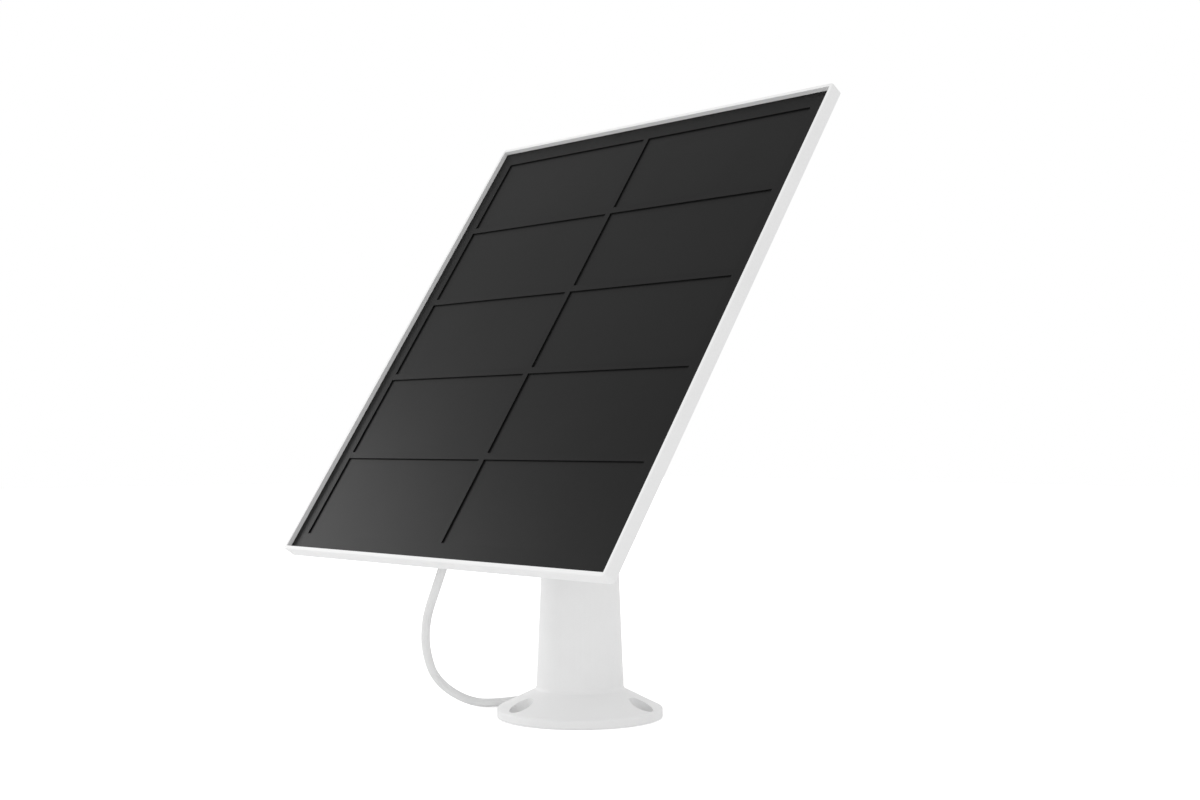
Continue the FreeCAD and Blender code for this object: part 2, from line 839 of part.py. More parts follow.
def make_plate():
    """The cell plate: film, board, cells, ribbons and the dark mask with its windows."""
    border = d.film_border
    film = plate("adhesive_film", plate_width, plate_height, film_low, d.film_thickness)
    opening = new_sketch(film, lift=film_low)
    draw_rectangle(
        opening, d.window_width + border, d.window_height + border, 0.0, circuit_y
    )
    film.Tip = cut(film, opening, d.film_thickness)
    plate("cell_board", plate_width, plate_height, board_low, d.board_thickness)
    mask = plate("cell_mask", plate_width, plate_height, mask_low, d.mask_thickness)
    windows = new_sketch(mask, lift=mask_low)
    for x, y in cell_places():
        draw_rectangle(windows, cell_width, cell_height, x, y)
    mask.Tip = cut(mask, windows, d.mask_thickness)
    width = cell_width + d.cell_overlap * 2.0
    height = cell_height + d.cell_overlap * 2.0
    cells = []
    for number, (x, y) in enumerate(cell_places(), start=1):
        cells.append(box("cell_%d" % number, width, height, d.cell_thickness, x, y, cell_low))
    group("solar_cells", cells)
    gap = d.cell_web - d.cell_overlap * 2.0
    ribbons = []
    for column in range(CELL_COLUMNS):
        x = column_pitch * (column - (CELL_COLUMNS - 1) / 2)
        for line in range(CELL_ROWS - 1):
            y = row_pitch * (line + 1 - CELL_ROWS / 2)
            for step in RIBBON_STEPS:
                ribbons.append(
                    box(
                        "ribbon_%d_%d_%d" % (column, line, step - RIBBON_STEPS[0]),
                        d.ribbon_width,
                        gap,
                        d.ribbon_thickness,
                        ribbon_spacing * float(step) + x,
                        y,
                        cell_low,
                    )
                )
    group("cell_ribbons", ribbons)


# ---- housing and electronics ---------------------------------------------------------------


def make_housing():
    """The low box on the panel's back, its seal, and the screws and inserts in it."""
    y = d.housing_shift
    body = plate(
        "rear_housing",
        d.housing_width,
        d.housing_height,
        housing_back,
        d.housing_depth,
        y=y,
    )
    half_x, half_y = d.housing_width * 0.5, d.housing_height * 0.5
    round_edges(body, d.housing_corner, upright_corner(half_x, half_y, 0.0, y))
    wall = d.housing_wall * 2.0
    hollow = new_sketch(body, lift=housing_inside)
    draw_rectangle(hollow, d.housing_width - wall, d.housing_height - wall, 0.0, y)
    cut(body, hollow, d.housing_depth)
    side = (d.housing_wall - d.seal_width) * 0.5
    low = frame_back - d.seal_depth
    outer_width = d.housing_width - side * 2.0
    outer_height = d.housing_height - side * 2.0
    seal_widths = d.seal_width * 2.0
    corner = d.housing_corner - side
    groove = new_sketch(body, lift=low)
    draw_rounded(groove, outer_width, outer_height, y, corner)
    draw_rounded(groove, outer_width - seal_widths, outer_height - seal_widths, y, corner - d.seal_width)
    cut(body, groove, d.seal_depth)
    holes = new_sketch(body, lift=housing_back)
    for x, at_y in housing_corners:
        draw_circle(holes, d.small_screw_radius + d.hex_clearance, x, at_y)
    for x, at_y in bracket_corners:
        draw_circle(holes, d.m3_radius + d.hex_clearance, x, at_y)
    cut(body, holes, d.housing_wall)
    sinks = new_sketch(body, lift=housing_back)
    for x, at_y in housing_corners:
        draw_circle(sinks, d.small_head_radius + d.hex_clearance, x, at_y)
    cut(body, sinks, d.small_head_height)
    outlet = new_sketch(body, "XZ_Plane", lift=-gland_wall - d.housing_wall)
    draw_circle(outlet, d.gland_neck_radius + d.seat_clearance, d.cord_x, cord_axis)
    body.Tip = cut(body, outlet, d.housing_wall, along=True)
    seal = new_body("housing_seal", PANEL)
    outline = new_sketch(seal, lift=low)
    draw_rounded(outline, outer_width, outer_height, y, corner)
    draw_rounded(outline, outer_width - seal_widths, outer_height - seal_widths, y, corner - d.seal_width)
    extrude(seal, outline, d.seal_depth)
    bite = boss_height * THREAD_SHARE
    screws(
        "housing_screws",
        housing_corners,
        d.small_head_radius,
        d.small_head_height,
        d.small_screw_radius,
        d.housing_wall - d.small_head_height + bite,
        housing_back + d.small_head_height,
    )
    screws(
        "bracket_screws",
        bracket_corners,
        d.m3_head_radius,
        d.m3_head_height,
        d.m3_radius,
        d.bracket_plate + d.housing_wall + bite,
        bracket_low,
    )
    members = []
    for number, (x, at_y) in enumerate(bracket_corners, start=1):
        name = "bracket_insert_%d" % number
        outside = cylinder(name + "_body", d.m3_insert_radius, boss_height, x, at_y, housing_inside)
        bore = cylinder(
            name + "_bore", d.m3_radius + d.seat_clearance, boss_height, x, at_y, housing_inside
        )
        insert = doc.addObject("Part::Cut", name)
        insert.Base = outside
        insert.Tool = bore
        members.append(insert)
    group("bracket_inserts", members)


def draw_rounded(sketch, width, height, y, corner):
    """A rectangle with round corners about a centre on the sketch's Y axis."""
    half_x, half_y = width * 0.5, height * 0.5
    low, high = -half_y + y, half_y + y
    right, left = half_x - corner, -half_x + corner
    top, bottom = high - corner, low + corner
    arcs = [(left, bottom, 180), (right, bottom, 270), (right, top, 0), (left, top, 90)]
    first = sketch.GeometryCount
    for x, at_y, start in arcs:
        circle = Part.Circle(
            Vector(value_of(x), value_of(at_y), 0), Vector(0, 0, 1), value_of(corner)
        )
        begin, end = math.radians(start), math.radians(start + 90)
        sketch.addGeometry(Part.ArcOfCircle(circle, begin, end), False)
    sides = [((left, low), (right, low)), ((half_x, bottom), (half_x, top))]
    sides += [((right, high), (left, high)), ((-half_x, top), (-half_x, bottom))]
    for begin, end in sides:
        points = [Vector(value_of(x), value_of(at_y), 0) for x, at_y in (begin, end)]
        sketch.addGeometry(Part.LineSegment(points[0], points[1]), False)
    for i in range(4):
        arc, side, following = first + i, first + 4 + i, first + (i + 1) % 4
        sketch.addConstraint(Sketcher.Constraint("Tangent", arc, 2, side, 1))
        sketch.addConstraint(Sketcher.Constraint("Tangent", side, 2, following, 1))
    number = sketch.addConstraint(Sketcher.Constraint("Radius", first, value_of(corner)))
    sketch.setExpression("Constraints[%d]" % number, corner.text)
    for i in range(1, 4):
        sketch.addConstraint(Sketcher.Constraint("Equal", first, first + i))
    pin_point(sketch, first, 3, left, "DistanceX", -2)
    pin_point(sketch, first, 3, bottom, "DistanceY", -1)
    pin_point(sketch, first + 2, 3, right, "DistanceX", -2)
    pin_point(sketch, first + 2, 3, top, "DistanceY", -1)


def make_electronics():
    """The regulator board with its parts, the wires to the cells and the cord's inner end."""
    board = plate(
        "regulator_board",
        d.circuit_width,
        d.circuit_height,
        circuit_low,
        d.circuit_thickness,
        y=circuit_y,
    )
    holes = new_sketch(board, lift=circuit_low)
    for x, y in circuit_screws:
        draw_circle(holes, d.small_screw_radius + d.hex_clearance, x, y)
    for side in (-1.0, 1.0):
        draw_circle(holes, d.lead_radius + d.seat_clearance, d.lead_x * side, circuit_y)
    board.Tip = cut(board, holes, d.circuit_thickness)
    coil_low = circuit_low - coil_height
    coil_y = circuit_y + d.coil_shift
    coil = box("coil_block", d.coil_size, d.coil_size, coil_height, 0.0, coil_y, coil_low)
    group("regulator_coil", [coil])
    chips = []
    for number, (x, y, share) in enumerate(CHIPS):
        width = d.coil_size * share
        chips.append(
            box(
                "chip_%d" % number,
                width,
                width * CHIP_ASPECT,
                d.chip_height,
                d.coil_size * x,
                d.coil_size * y + circuit_y,
                circuit_low - d.chip_height,
            )
        )
    group("regulator_chips", chips)
    screws(
        "regulator_screws",
        circuit_screws,
        d.small_head_radius,
        d.small_head_height,
        d.small_screw_radius,
        d.circuit_thickness + d.circuit_standoff,
        circuit_low,
    )
    leads = []
    for number, side in enumerate((-1.0, 1.0)):
        leads.append(
            cylinder(
                "cell_lead_%d" % number,
                d.lead_radius,
                board_low - circuit_low,
                d.lead_x * side,
                circuit_y,
                circuit_low,
            )
        )
    group("cell_leads", leads)
    back = Rotation(Vector(1, 0, 0), 90)
    wires = []
    inner_wall = gland_wall + d.housing_wall
    for number, side in enumerate((-0.5, 0.5)):
        wires.append(
            cylinder(
                "cord_wire_%d" % number,
                d.wire_radius,
                d.wire_length,
                d.wire_spacing * side + d.cord_x,
                inner_wall + d.wire_length,
                cord_axis,
                back,
            )
        )
    group("cord_wires", wires)


def gland_frame():
    """The frame of the gland: its Z runs out of the housing along the cord."""
    inner_wall = value_of(gland_wall + d.housing_wall)
    inside = Placement(
        Vector(value_of(d.cord_x), inner_wall, value_of(cord_axis)),
        Rotation(Vector(1, 0, 0), 90),
    )
    return PANEL.multiply(inside)


def make_gland():
    """The tapered rubber gland and the end of the cord that it grips."""
    bore = d.cord_radius + d.seat_clearance
    wall = d.housing_wall
    collar = wall + d.gland_collar_length
    tip = wall + d.gland_length
    turned(
        "cable_gland",
        [
            (bore, 0.0),
            (d.gland_neck_radius, 0.0),
            (d.gland_neck_radius, wall),
            (d.gland_collar_radius, wall),
            (d.gland_collar_radius, collar),
            (d.gland_tip_radius, tip),
            (bore, tip),
        ],
        gland_frame(),
    )
    core = new_body("cord_inner_end", gland_frame())
    sketch = new_sketch(core)
    draw_circle(sketch, d.cord_radius)
    extrude(core, sketch, tip)


# ---- cord --------------------------------------------------------------------------------


def cord_corners():
    """The whole route: the gland's tip, the chosen points and the run into the hank."""
    frame = gland_frame()
    tip = value_of(d.housing_wall + d.gland_length)
    start = frame.multVec(Vector(0, 0, tip))
    lead = frame.multVec(Vector(0, 0, tip + CORD_LEAD))
    radius = value_of(d.cord_radius)
    entry, distance = value_of(d.hank_entry), value_of(d.hank_distance)
    end = HANK.multVec(Vector(distance, entry, radius))
    before = HANK.multVec(Vector(distance - HANK_LEAD, entry, radius))
    return [start, lead] + [Vector(*point) for point in CORD_POINTS] + [before, end]


def cord_path(corners):
    """Straight runs joined by tangent arcs as large as the runs allow, and their radii."""
    edges, radii = [], []
    here = corners[0]
    for before, corner, after in zip(corners, corners[1:], corners[2:]):
        back, ahead = (before - corner), (after - corner)
        shorter = min(back.Length, ahead.Length)
        back.normalize()
        ahead.normalize()
        turn = math.pi - back.getAngle(ahead)
        radius = 0.45 * shorter / math.tan(turn / 2)
        begin, end = corner + back * (0.45 * shorter), corner + ahead * (0.45 * shorter)
        inward = (back + ahead).normalize()
        middle = corner + inward * (radius / math.cos(turn / 2) - radius)
        edges.append(Part.LineSegment(here, begin).toShape())
        edges.append(Part.Arc(begin, middle, end).toShape())
        radii.append(radius)
        here = end
    edges.append(Part.LineSegment(here, corners[-1]).toShape())
    return Part.Wire(edges), radii


def make_cord():
    """The free stretch of the cord, as a tube along its route."""
    corners = cord_corners()
    path, radii = cord_path(corners)
    print("cord radii", [round(radius, 1) for radius in radii])
    runs = [(b - a).Length for a, b in zip(corners, corners[1:])]
    print("cord runs", [round(run, 1) for run in runs], "length", round(path.Length, 1))
    radius = value_of(d.cord_radius)
    circle = Part.Circle(corners[0], corners[1] - corners[0], radius)
    tube = path.makePipeShell([Part.Wire([circle.toShape()])], True, True)
    section = math.pi * radius * radius
    print("cord volume over section times length", round(tube.Volume / (section * path.Length), 4))
    cord = doc.addObject("Part::Feature", "cord_run")
    cord.Label = "cord_run"
    cord.Shape = tube
    nodes.append(cord)


def make_hank():
    """The folded length of cord as one solid with a waist, and the tie round the waist."""
    middle = d.hank_distance + d.hank_length * 0.5
    hank = plate("cord_hank", d.hank_length, d.hank_width, 0.0, d.hank_height, HANK, x=middle)
    corner = upright_corner(d.hank_length * 0.5, d.hank_width * 0.5, middle)
    round_edges(hank, d.hank_corner, corner)
    inner_width = d.hank_width - d.tie_thickness * 2.0
    inner_low, inner_high = d.tie_thickness, d.hank_height - d.tie_thickness
    centre = d.hank_height * 0.5
    waist = new_sketch(hank, "YZ_Plane", lift=middle)
    draw_rectangle(waist, d.hank_width + d.tie_width, d.hank_height + d.tie_width, 0.0, centre)
    draw_rectangle(waist, inner_width, inner_high - inner_low, 0.0, centre)
    hank.Tip = cut(hank, waist, d.tie_width, middle=True)
    tie = new_body("hank_tie", HANK)
    band = new_sketch(tie, "YZ_Plane", lift=middle)
    draw_rectangle(band, d.hank_width, d.hank_height, 0.0, centre)
    draw_rectangle(band, inner_width, inner_high - inner_low, 0.0, centre)
    extrude(tie, band, d.tie_width, middle=True)


def make_plug():
    """The moulded plug on the cord's end, lying on the hank."""
    foot = d.hank_distance + d.hank_length * 0.5 - d.boot_length
    height = d.hank_height + d.plug_thickness * 0.5
    along = HANK.multiply(placed(foot, 0.0, height)).multiply(ALONG_X)
    turned(
        "plug_boot",
        [
            (0.0, 0.0),
            (d.gland_tip_radius, 0.0),
            (d.boot_foot_radius, d.boot_length),
            (0.0, d.boot_length),
        ],
        along,
    )
    grip = new_body("plug_grip", along)
    outline = new_sketch(grip, lift=d.boot_length)
    draw_rectangle(outline, d.plug_thickness, d.plug_width)
    extrude(grip, outline, d.plug_length)
    half_x, half_y = d.plug_thickness * 0.5, d.plug_width * 0.5
    round_edges(grip, d.plug_round, upright_corner(half_x, half_y))
    shell = new_body("plug_shell", along)
    start = d.boot_length + d.plug_length
    outside = new_sketch(shell, lift=start)
    draw_rectangle(outside, d.shell_thickness, d.shell_width)
    extrude(shell, outside, d.shell_length)
    half_x, half_y = d.shell_thickness * 0.5, d.shell_width * 0.5
    round_edges(shell, d.shell_round, upright_corner(half_x, half_y))
    mouth = new_sketch(shell, lift=start + d.shell_wall)
    wall = d.shell_wall * 2.0
    draw_rectangle(mouth, d.shell_thickness - wall, d.shell_width - wall - d.shell_round)
    shell.Tip = cut(shell, mouth, d.shell_length)


def check_and_write():
    """Stops on any failed object or shape, then writes each node's solids."""
    doc.recompute()
    for thing in doc.Objects:
        if "Invalid" in thing.State or "Error" in thing.State:
            raise ValueError("%s failed: %s" % (thing.Name, thing.State))
    for node in nodes:
        if node.Shape.isNull() or not node.Shape.isValid() or not node.Shape.Solids:
            raise ValueError("%s has no valid solid" % node.Label)
    os.makedirs("parts", exist_ok=True)
    for node in nodes:
        node.Shape.exportStep("parts/%s.step" % node.Label)
    print(len(nodes), "nodes written")


make_mount()
make_gasket()
make_pan_joint()
make_bracket()
make_hinge_bolt()
make_knob()
make_frame()
make_plate()
make_housing()
make_electronics()
make_gland()
make_cord()
make_hank()
make_plug()
check_and_write()
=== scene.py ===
"""Looks for a small solar charging panel on a turning, tilting wall mount, with its lead.

Everything is in metres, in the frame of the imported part: the origin is the centre of the
mount's underside, +Z runs up the column and +X along the panel's level edge.
"""

import json
import logging
import math
from collections.abc import Callable
from dataclasses import dataclass, field
from enum import Enum

import bmesh
import bpy
from mathutils import Matrix, Vector


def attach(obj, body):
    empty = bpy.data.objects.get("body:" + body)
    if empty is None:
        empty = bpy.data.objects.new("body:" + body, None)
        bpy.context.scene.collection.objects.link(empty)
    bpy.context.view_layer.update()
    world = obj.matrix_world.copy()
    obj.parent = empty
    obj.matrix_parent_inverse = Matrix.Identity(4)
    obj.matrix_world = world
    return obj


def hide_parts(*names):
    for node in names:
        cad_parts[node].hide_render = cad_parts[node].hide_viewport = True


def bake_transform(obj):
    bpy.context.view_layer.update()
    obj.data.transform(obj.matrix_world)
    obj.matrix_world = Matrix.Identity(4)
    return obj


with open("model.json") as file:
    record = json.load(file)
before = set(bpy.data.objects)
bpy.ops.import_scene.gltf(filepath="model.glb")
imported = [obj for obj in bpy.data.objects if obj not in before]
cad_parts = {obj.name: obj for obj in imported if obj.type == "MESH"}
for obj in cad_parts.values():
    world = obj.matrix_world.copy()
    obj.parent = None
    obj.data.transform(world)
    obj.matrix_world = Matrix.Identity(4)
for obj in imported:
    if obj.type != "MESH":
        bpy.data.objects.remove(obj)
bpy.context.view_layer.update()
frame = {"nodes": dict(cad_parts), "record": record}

MM = 0.001
JOIN_DISTANCE = 1e-6
QUARTER_TURN = math.radians(90.0)
NEARLY_ONE = 0.9
Point = tuple[float, float, float]
LOG = logging.getLogger("solar_panel")


# ---- units and small helpers ---------------------------------------------------------------


def linear(hex_colour: str) -> tuple[float, float, float, float]:
    """Turns an sRGB hex colour into a linear one.

    Args:
        hex_colour: A colour such as "#E6E6E4".

    Returns:
        Red, green, blue and an alpha of one.
    """
    parts = [int(hex_colour[i : i + 2], 16) / 255 for i in (1, 3, 5)]
    low, scale, shift, power = 0.04045, 12.92, 0.055, 2.4
    channels = [c / scale if c <= low else ((c + shift) / (1 + shift)) ** power for c in parts]
    return (*channels, 1.0)


def deselect_all() -> None:
    """Leaves edit mode if need be and deselects every object."""
    active = bpy.context.view_layer.objects.active
    if active is not None and active.mode != "OBJECT":
        bpy.ops.object.mode_set(mode="OBJECT")
    bpy.ops.object.select_all(action="DESELECT")


def pick(piece: bpy.types.Object) -> None:
    """Makes a piece the only selected and the active object."""
    deselect_all()
    piece.select_set(True)
    bpy.context.view_layer.objects.active = piece


def edit(piece: bpy.types.Object, kind: str = "FACE") -> None:
    """Opens a piece in edit mode with nothing selected.

    Args:
        piece: The mesh to edit.
        kind: VERT, EDGE or FACE, what a selection means.
    """
    pick(piece)
    bpy.ops.object.mode_set(mode="EDIT")
    bpy.ops.mesh.select_mode(type=kind)
    bpy.ops.mesh.select_all(action="DESELECT")


def choose(piece: bpy.types.Object, test: Callable[..., bool], kind: str = "FACE") -> None:
    """Selects the faces, edges or vertices of the edited piece that pass a test.

    Args:
        piece: The mesh in edit mode.
        test: A function of one element that says whether to take it.
        kind: VERT, EDGE or FACE.
    """
    bpy.ops.mesh.select_mode(type=kind)
    bpy.ops.mesh.select_all(action="DESELECT")
    shape = bmesh.from_edit_mesh(piece.data)
    for item in {"VERT": shape.verts, "EDGE": shape.edges, "FACE": shape.faces}[kind]:
        if test(item):
            item.select_set(True)
    shape.select_flush_mode()
    bmesh.update_edit_mesh(piece.data)


def leave() -> None:
    """Goes back to object mode."""
    bpy.ops.object.mode_set(mode="OBJECT")


def settle(piece: bpy.types.Object, turn: Matrix | None = None) -> bpy.types.Object:
    """Puts a piece's place into its mesh, with its object at the origin.

    Args:
        piece: The mesh object.
        turn: A matrix that carries the piece from its own frame to the part's frame.

    Returns:
        The same piece.
    """
    bpy.context.view_layer.update()
    piece.data.transform(piece.matrix_world)
    piece.matrix_world = Matrix.Identity(4)
    if turn is not None:
        piece.data.transform(turn)
    piece.data.update()
    return piece


def merge(piece: bpy.types.Object) -> None:
    """Merges doubles and points every face outwards."""
    edit(piece, "VERT")
    bpy.ops.mesh.select_all(action="SELECT")
    bpy.ops.mesh.remove_doubles(threshold=JOIN_DISTANCE)
    bpy.ops.mesh.normals_make_consistent(inside=False)
    leave()


def modify(piece: bpy.types.Object, kind: str, **settings: object) -> None:
    """Applies a modifier to a piece.

    Args:
        piece: The mesh object.
        kind: The modifier's type, such as BEVEL.
        **settings: The modifier's properties.
    """
    pick(piece)
    modifier = piece.modifiers.new(kind.lower(), kind)
    for name, value in settings.items():
        setattr(modifier, name, value)
    bpy.ops.object.modifier_apply(modifier=modifier.name)


def bevel(piece: bpy.types.Object, width: float, segments: int = 2, angle: float = 35.0) -> None:
    """Rounds a piece's hard edges.

    Args:
        piece: The mesh object.
        width: How far the round reaches from the edge, in metres.
        segments: How many faces make the round.
        angle: The least angle, in degrees, of an edge that is rounded.
    """
    reach = {"width": width, "segments": segments, "angle_limit": math.radians(angle)}
    modify(piece, "BEVEL", limit_method="ANGLE", use_clamp_overlap=True, **reach)


def smooth(piece: bpy.types.Object, angle: float = 32.0) -> None:
    """Shades a piece smooth, with edges sharper than the angle kept crisp."""
    pick(piece)
    bpy.ops.object.shade_smooth_by_angle(angle=math.radians(angle))


def add_object(name: str, data: bpy.types.ID) -> bpy.types.Object:
    """A new object in the scene that shows the data."""
    item = bpy.data.objects.new(name, data)
    bpy.context.scene.collection.objects.link(item)
    return item


def named(name: str) -> bpy.types.Object:
    """The active object, given a name of its own and its mesh too."""
    piece = bpy.context.view_layer.objects.active
    piece.name = name
    piece.data.name = name
    return piece


def cut_with(
    piece: bpy.types.Object, tool: bpy.types.Object, operation: str = "DIFFERENCE"
) -> None:
    """Cuts a piece with a tool, or keeps what both share, and removes the tool.

    Args:
        piece: The mesh that stays.
        tool: The mesh that cuts.
        operation: DIFFERENCE, INTERSECT or UNION.
    """
    modify(piece, "BOOLEAN", operation=operation, solver="EXACT", object=tool)
    bpy.data.objects.remove(tool)


def block(name: str, size: Point, centre: Point) -> bpy.types.Object:
    """A block to be shaped further or to cut with.

    Args:
        name: The piece's name.
        size: Its sides in metres.
        centre: Its centre.

    Returns:
        The block, with its place in its mesh.
    """
    deselect_all()
    bpy.ops.mesh.primitive_cube_add(size=1.0, location=centre)
    piece = named(name)
    piece.scale = size
    return settle(piece)


def copy_piece(source: bpy.types.Object, name: str, turn: Matrix) -> bpy.types.Object:
    """A new object whose mesh is a copy of another's, carried by a matrix.

    Args:
        source: The object to copy from, with its place in its mesh.
        name: The new object's name.
        turn: The matrix that carries the copied mesh.

    Returns:
        The new object, at the origin.
    """
    mesh = source.data.copy()
    mesh.name = name
    mesh.transform(turn)
    return add_object(name, mesh)


def lathe(
    name: str, outline: list[tuple[float, float]], steps: int = 64, closed: bool = False
) -> bpy.types.Object:
    """Turns an outline of (radius, height) points about Z into a closed shape.

    Args:
        name: The piece's name.
        outline: Points in metres, from the lower pole or rim to the upper one.
        steps: How many facets go round.
        closed: True for a ring, whose last point joins its first.

    Returns:
        The turned piece, with its place in its mesh.
    """
    deselect_all()
    bpy.ops.mesh.primitive_circle_add(vertices=3, radius=MM, location=(0, 0, 0))
    piece = named(name)
    edit(piece, "VERT")
    bpy.ops.mesh.select_all(action="SELECT")
    bpy.ops.mesh.delete(type="VERT")
    shape = bmesh.from_edit_mesh(piece.data)
    points = [shape.verts.new((radius, 0.0, height)) for radius, height in outline]
    for first, second in zip(points, points[1:]):
        shape.edges.new((first, second))
    if closed:
        shape.edges.new((points[-1], points[0]))
    bmesh.update_edit_mesh(piece.data)
    bpy.ops.mesh.select_all(action="SELECT")
    bpy.ops.mesh.spin(
        steps=steps, angle=math.tau, center=(0, 0, 0), axis=(0, 0, 1), use_auto_merge=True
    )
    leave()
    merge(piece)
    return piece


def spans(axis: int, distance: float) -> Callable[[bmesh.types.BMEdge], bool]:
    """A test for edges that reach further than a distance along an axis."""
    return lambda edge: abs(edge.verts[0].co[axis] - edge.verts[1].co[axis]) > distance


def turned(name: str, outline: list[tuple[float, float]], steps: int) -> bpy.types.Object:
    """Turns an outline that starts and ends away from the axis into a solid with flat ends."""
    foot, head = (0.0, outline[0][1]), (0.0, outline[-1][1])
    return lathe(name, [foot, *outline, head], steps)


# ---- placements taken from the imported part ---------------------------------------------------


@dataclass(frozen=True)
class Placements:
    """Where the panel, its hinge and the wound lead are, in metres and degrees."""

    pivot_height: float = 0.1295
    elevation: float = 33.18
    hank_heading: float = 137.73

    def panel(self) -> Matrix:
        """The panel's frame: X along its level edge, Y up it and Z out of its face."""
        lift = Matrix.Translation((0, 0, self.pivot_height))
        return lift @ Matrix.Rotation(math.radians(90.0 - self.elevation), 4, "X")

    def hinge(self) -> Matrix:
        """The hinge's frame, with Z along the bolt."""
        return self.panel() @ Matrix.Rotation(QUARTER_TURN, 4, "Y")

    def hank(self) -> Matrix:
        """The wound lead's frame: X along its runs and Z up."""
        return Matrix.Rotation(math.radians(self.hank_heading), 4, "Z")


PLACES = Placements()


# ---- finishes --------------------------------------------------------------------------------


class Pattern(Enum):
    """The kinds of fine surface that a finish can have."""

    MOULDED = "moulded"
    TURNED = "turned"
    FOAM = "foam"
    WOVEN = "woven"
    FILM = "film"
    KNURLED = "knurled"


NOISE_DETAIL = {Pattern.MOULDED: 4.0, Pattern.TURNED: 2.0, Pattern.FILM: 5.0}


@dataclass(frozen=True)
class Finish:
    """One real material and how its surface was made.

    The colours are sRGB hex values, and the sizes are the real ones in millimetres.
    """

    name: str
    colour: str
    shade: str
    pattern: Pattern
    roughness: float
    roughness_spread: float
    grain_mm: float
    bump_mm: float
    cloud_mm: float = 30.0
    metallic: float = 0.0
    ior: float | None = None
    coat: float = 0.0
    coat_roughness: float = 0.3
    sheen: float = 0.0
    specular: float = 0.5
    stretch: tuple[float, float, float] = (1.0, 1.0, 1.0)


def add_node(
    tree: bpy.types.NodeTree,
    kind: str,
    inputs: dict[str | int, object] | None = None,
    **settings: object,
) -> bpy.types.Node:
    """Adds one node.

    Args:
        tree: The node tree.
        kind: The node's type name after ShaderNode, such as TexNoise.
        inputs: Input names or numbers, each with the output or the plain value it takes.
        **settings: Properties of the node itself.

    Returns:
        The node.
    """
    node = tree.nodes.new("ShaderNode" + kind)
    for name, value in settings.items():
        setattr(node, name, value)
    for name, value in (inputs or {}).items():
        if isinstance(value, bpy.types.NodeSocket):
            tree.links.new(value, node.inputs[name])
        else:
            node.inputs[name].default_value = value
    return node


def new_tree(owner: bpy.types.Material | bpy.types.World) -> bpy.types.NodeTree:
    """The empty node tree of a new material or world."""
    owner.use_nodes = True
    owner.node_tree.nodes.clear()
    return owner.node_tree


def ramp_of(
    tree: bpy.types.NodeTree,
    source: bpy.types.NodeSocket,
    stops: list[tuple[float, tuple[float, float, float, float]]],
) -> bpy.types.NodeSocket:
    """A colour ramp fed by a value.

    Args:
        tree: The node tree.
        source: The value's output.
        stops: Positions and linear colours.

    Returns:
        The ramp's colour output.
    """
    ramp = add_node(tree, "ValToRGB", {"Fac": source})
    elements = ramp.color_ramp.elements
    while len(elements) < len(stops):
        elements.new(0.5)
    for element, (position, colour) in zip(elements, stops):
        element.position = position
        element.color = colour
    return ramp.outputs["Color"]


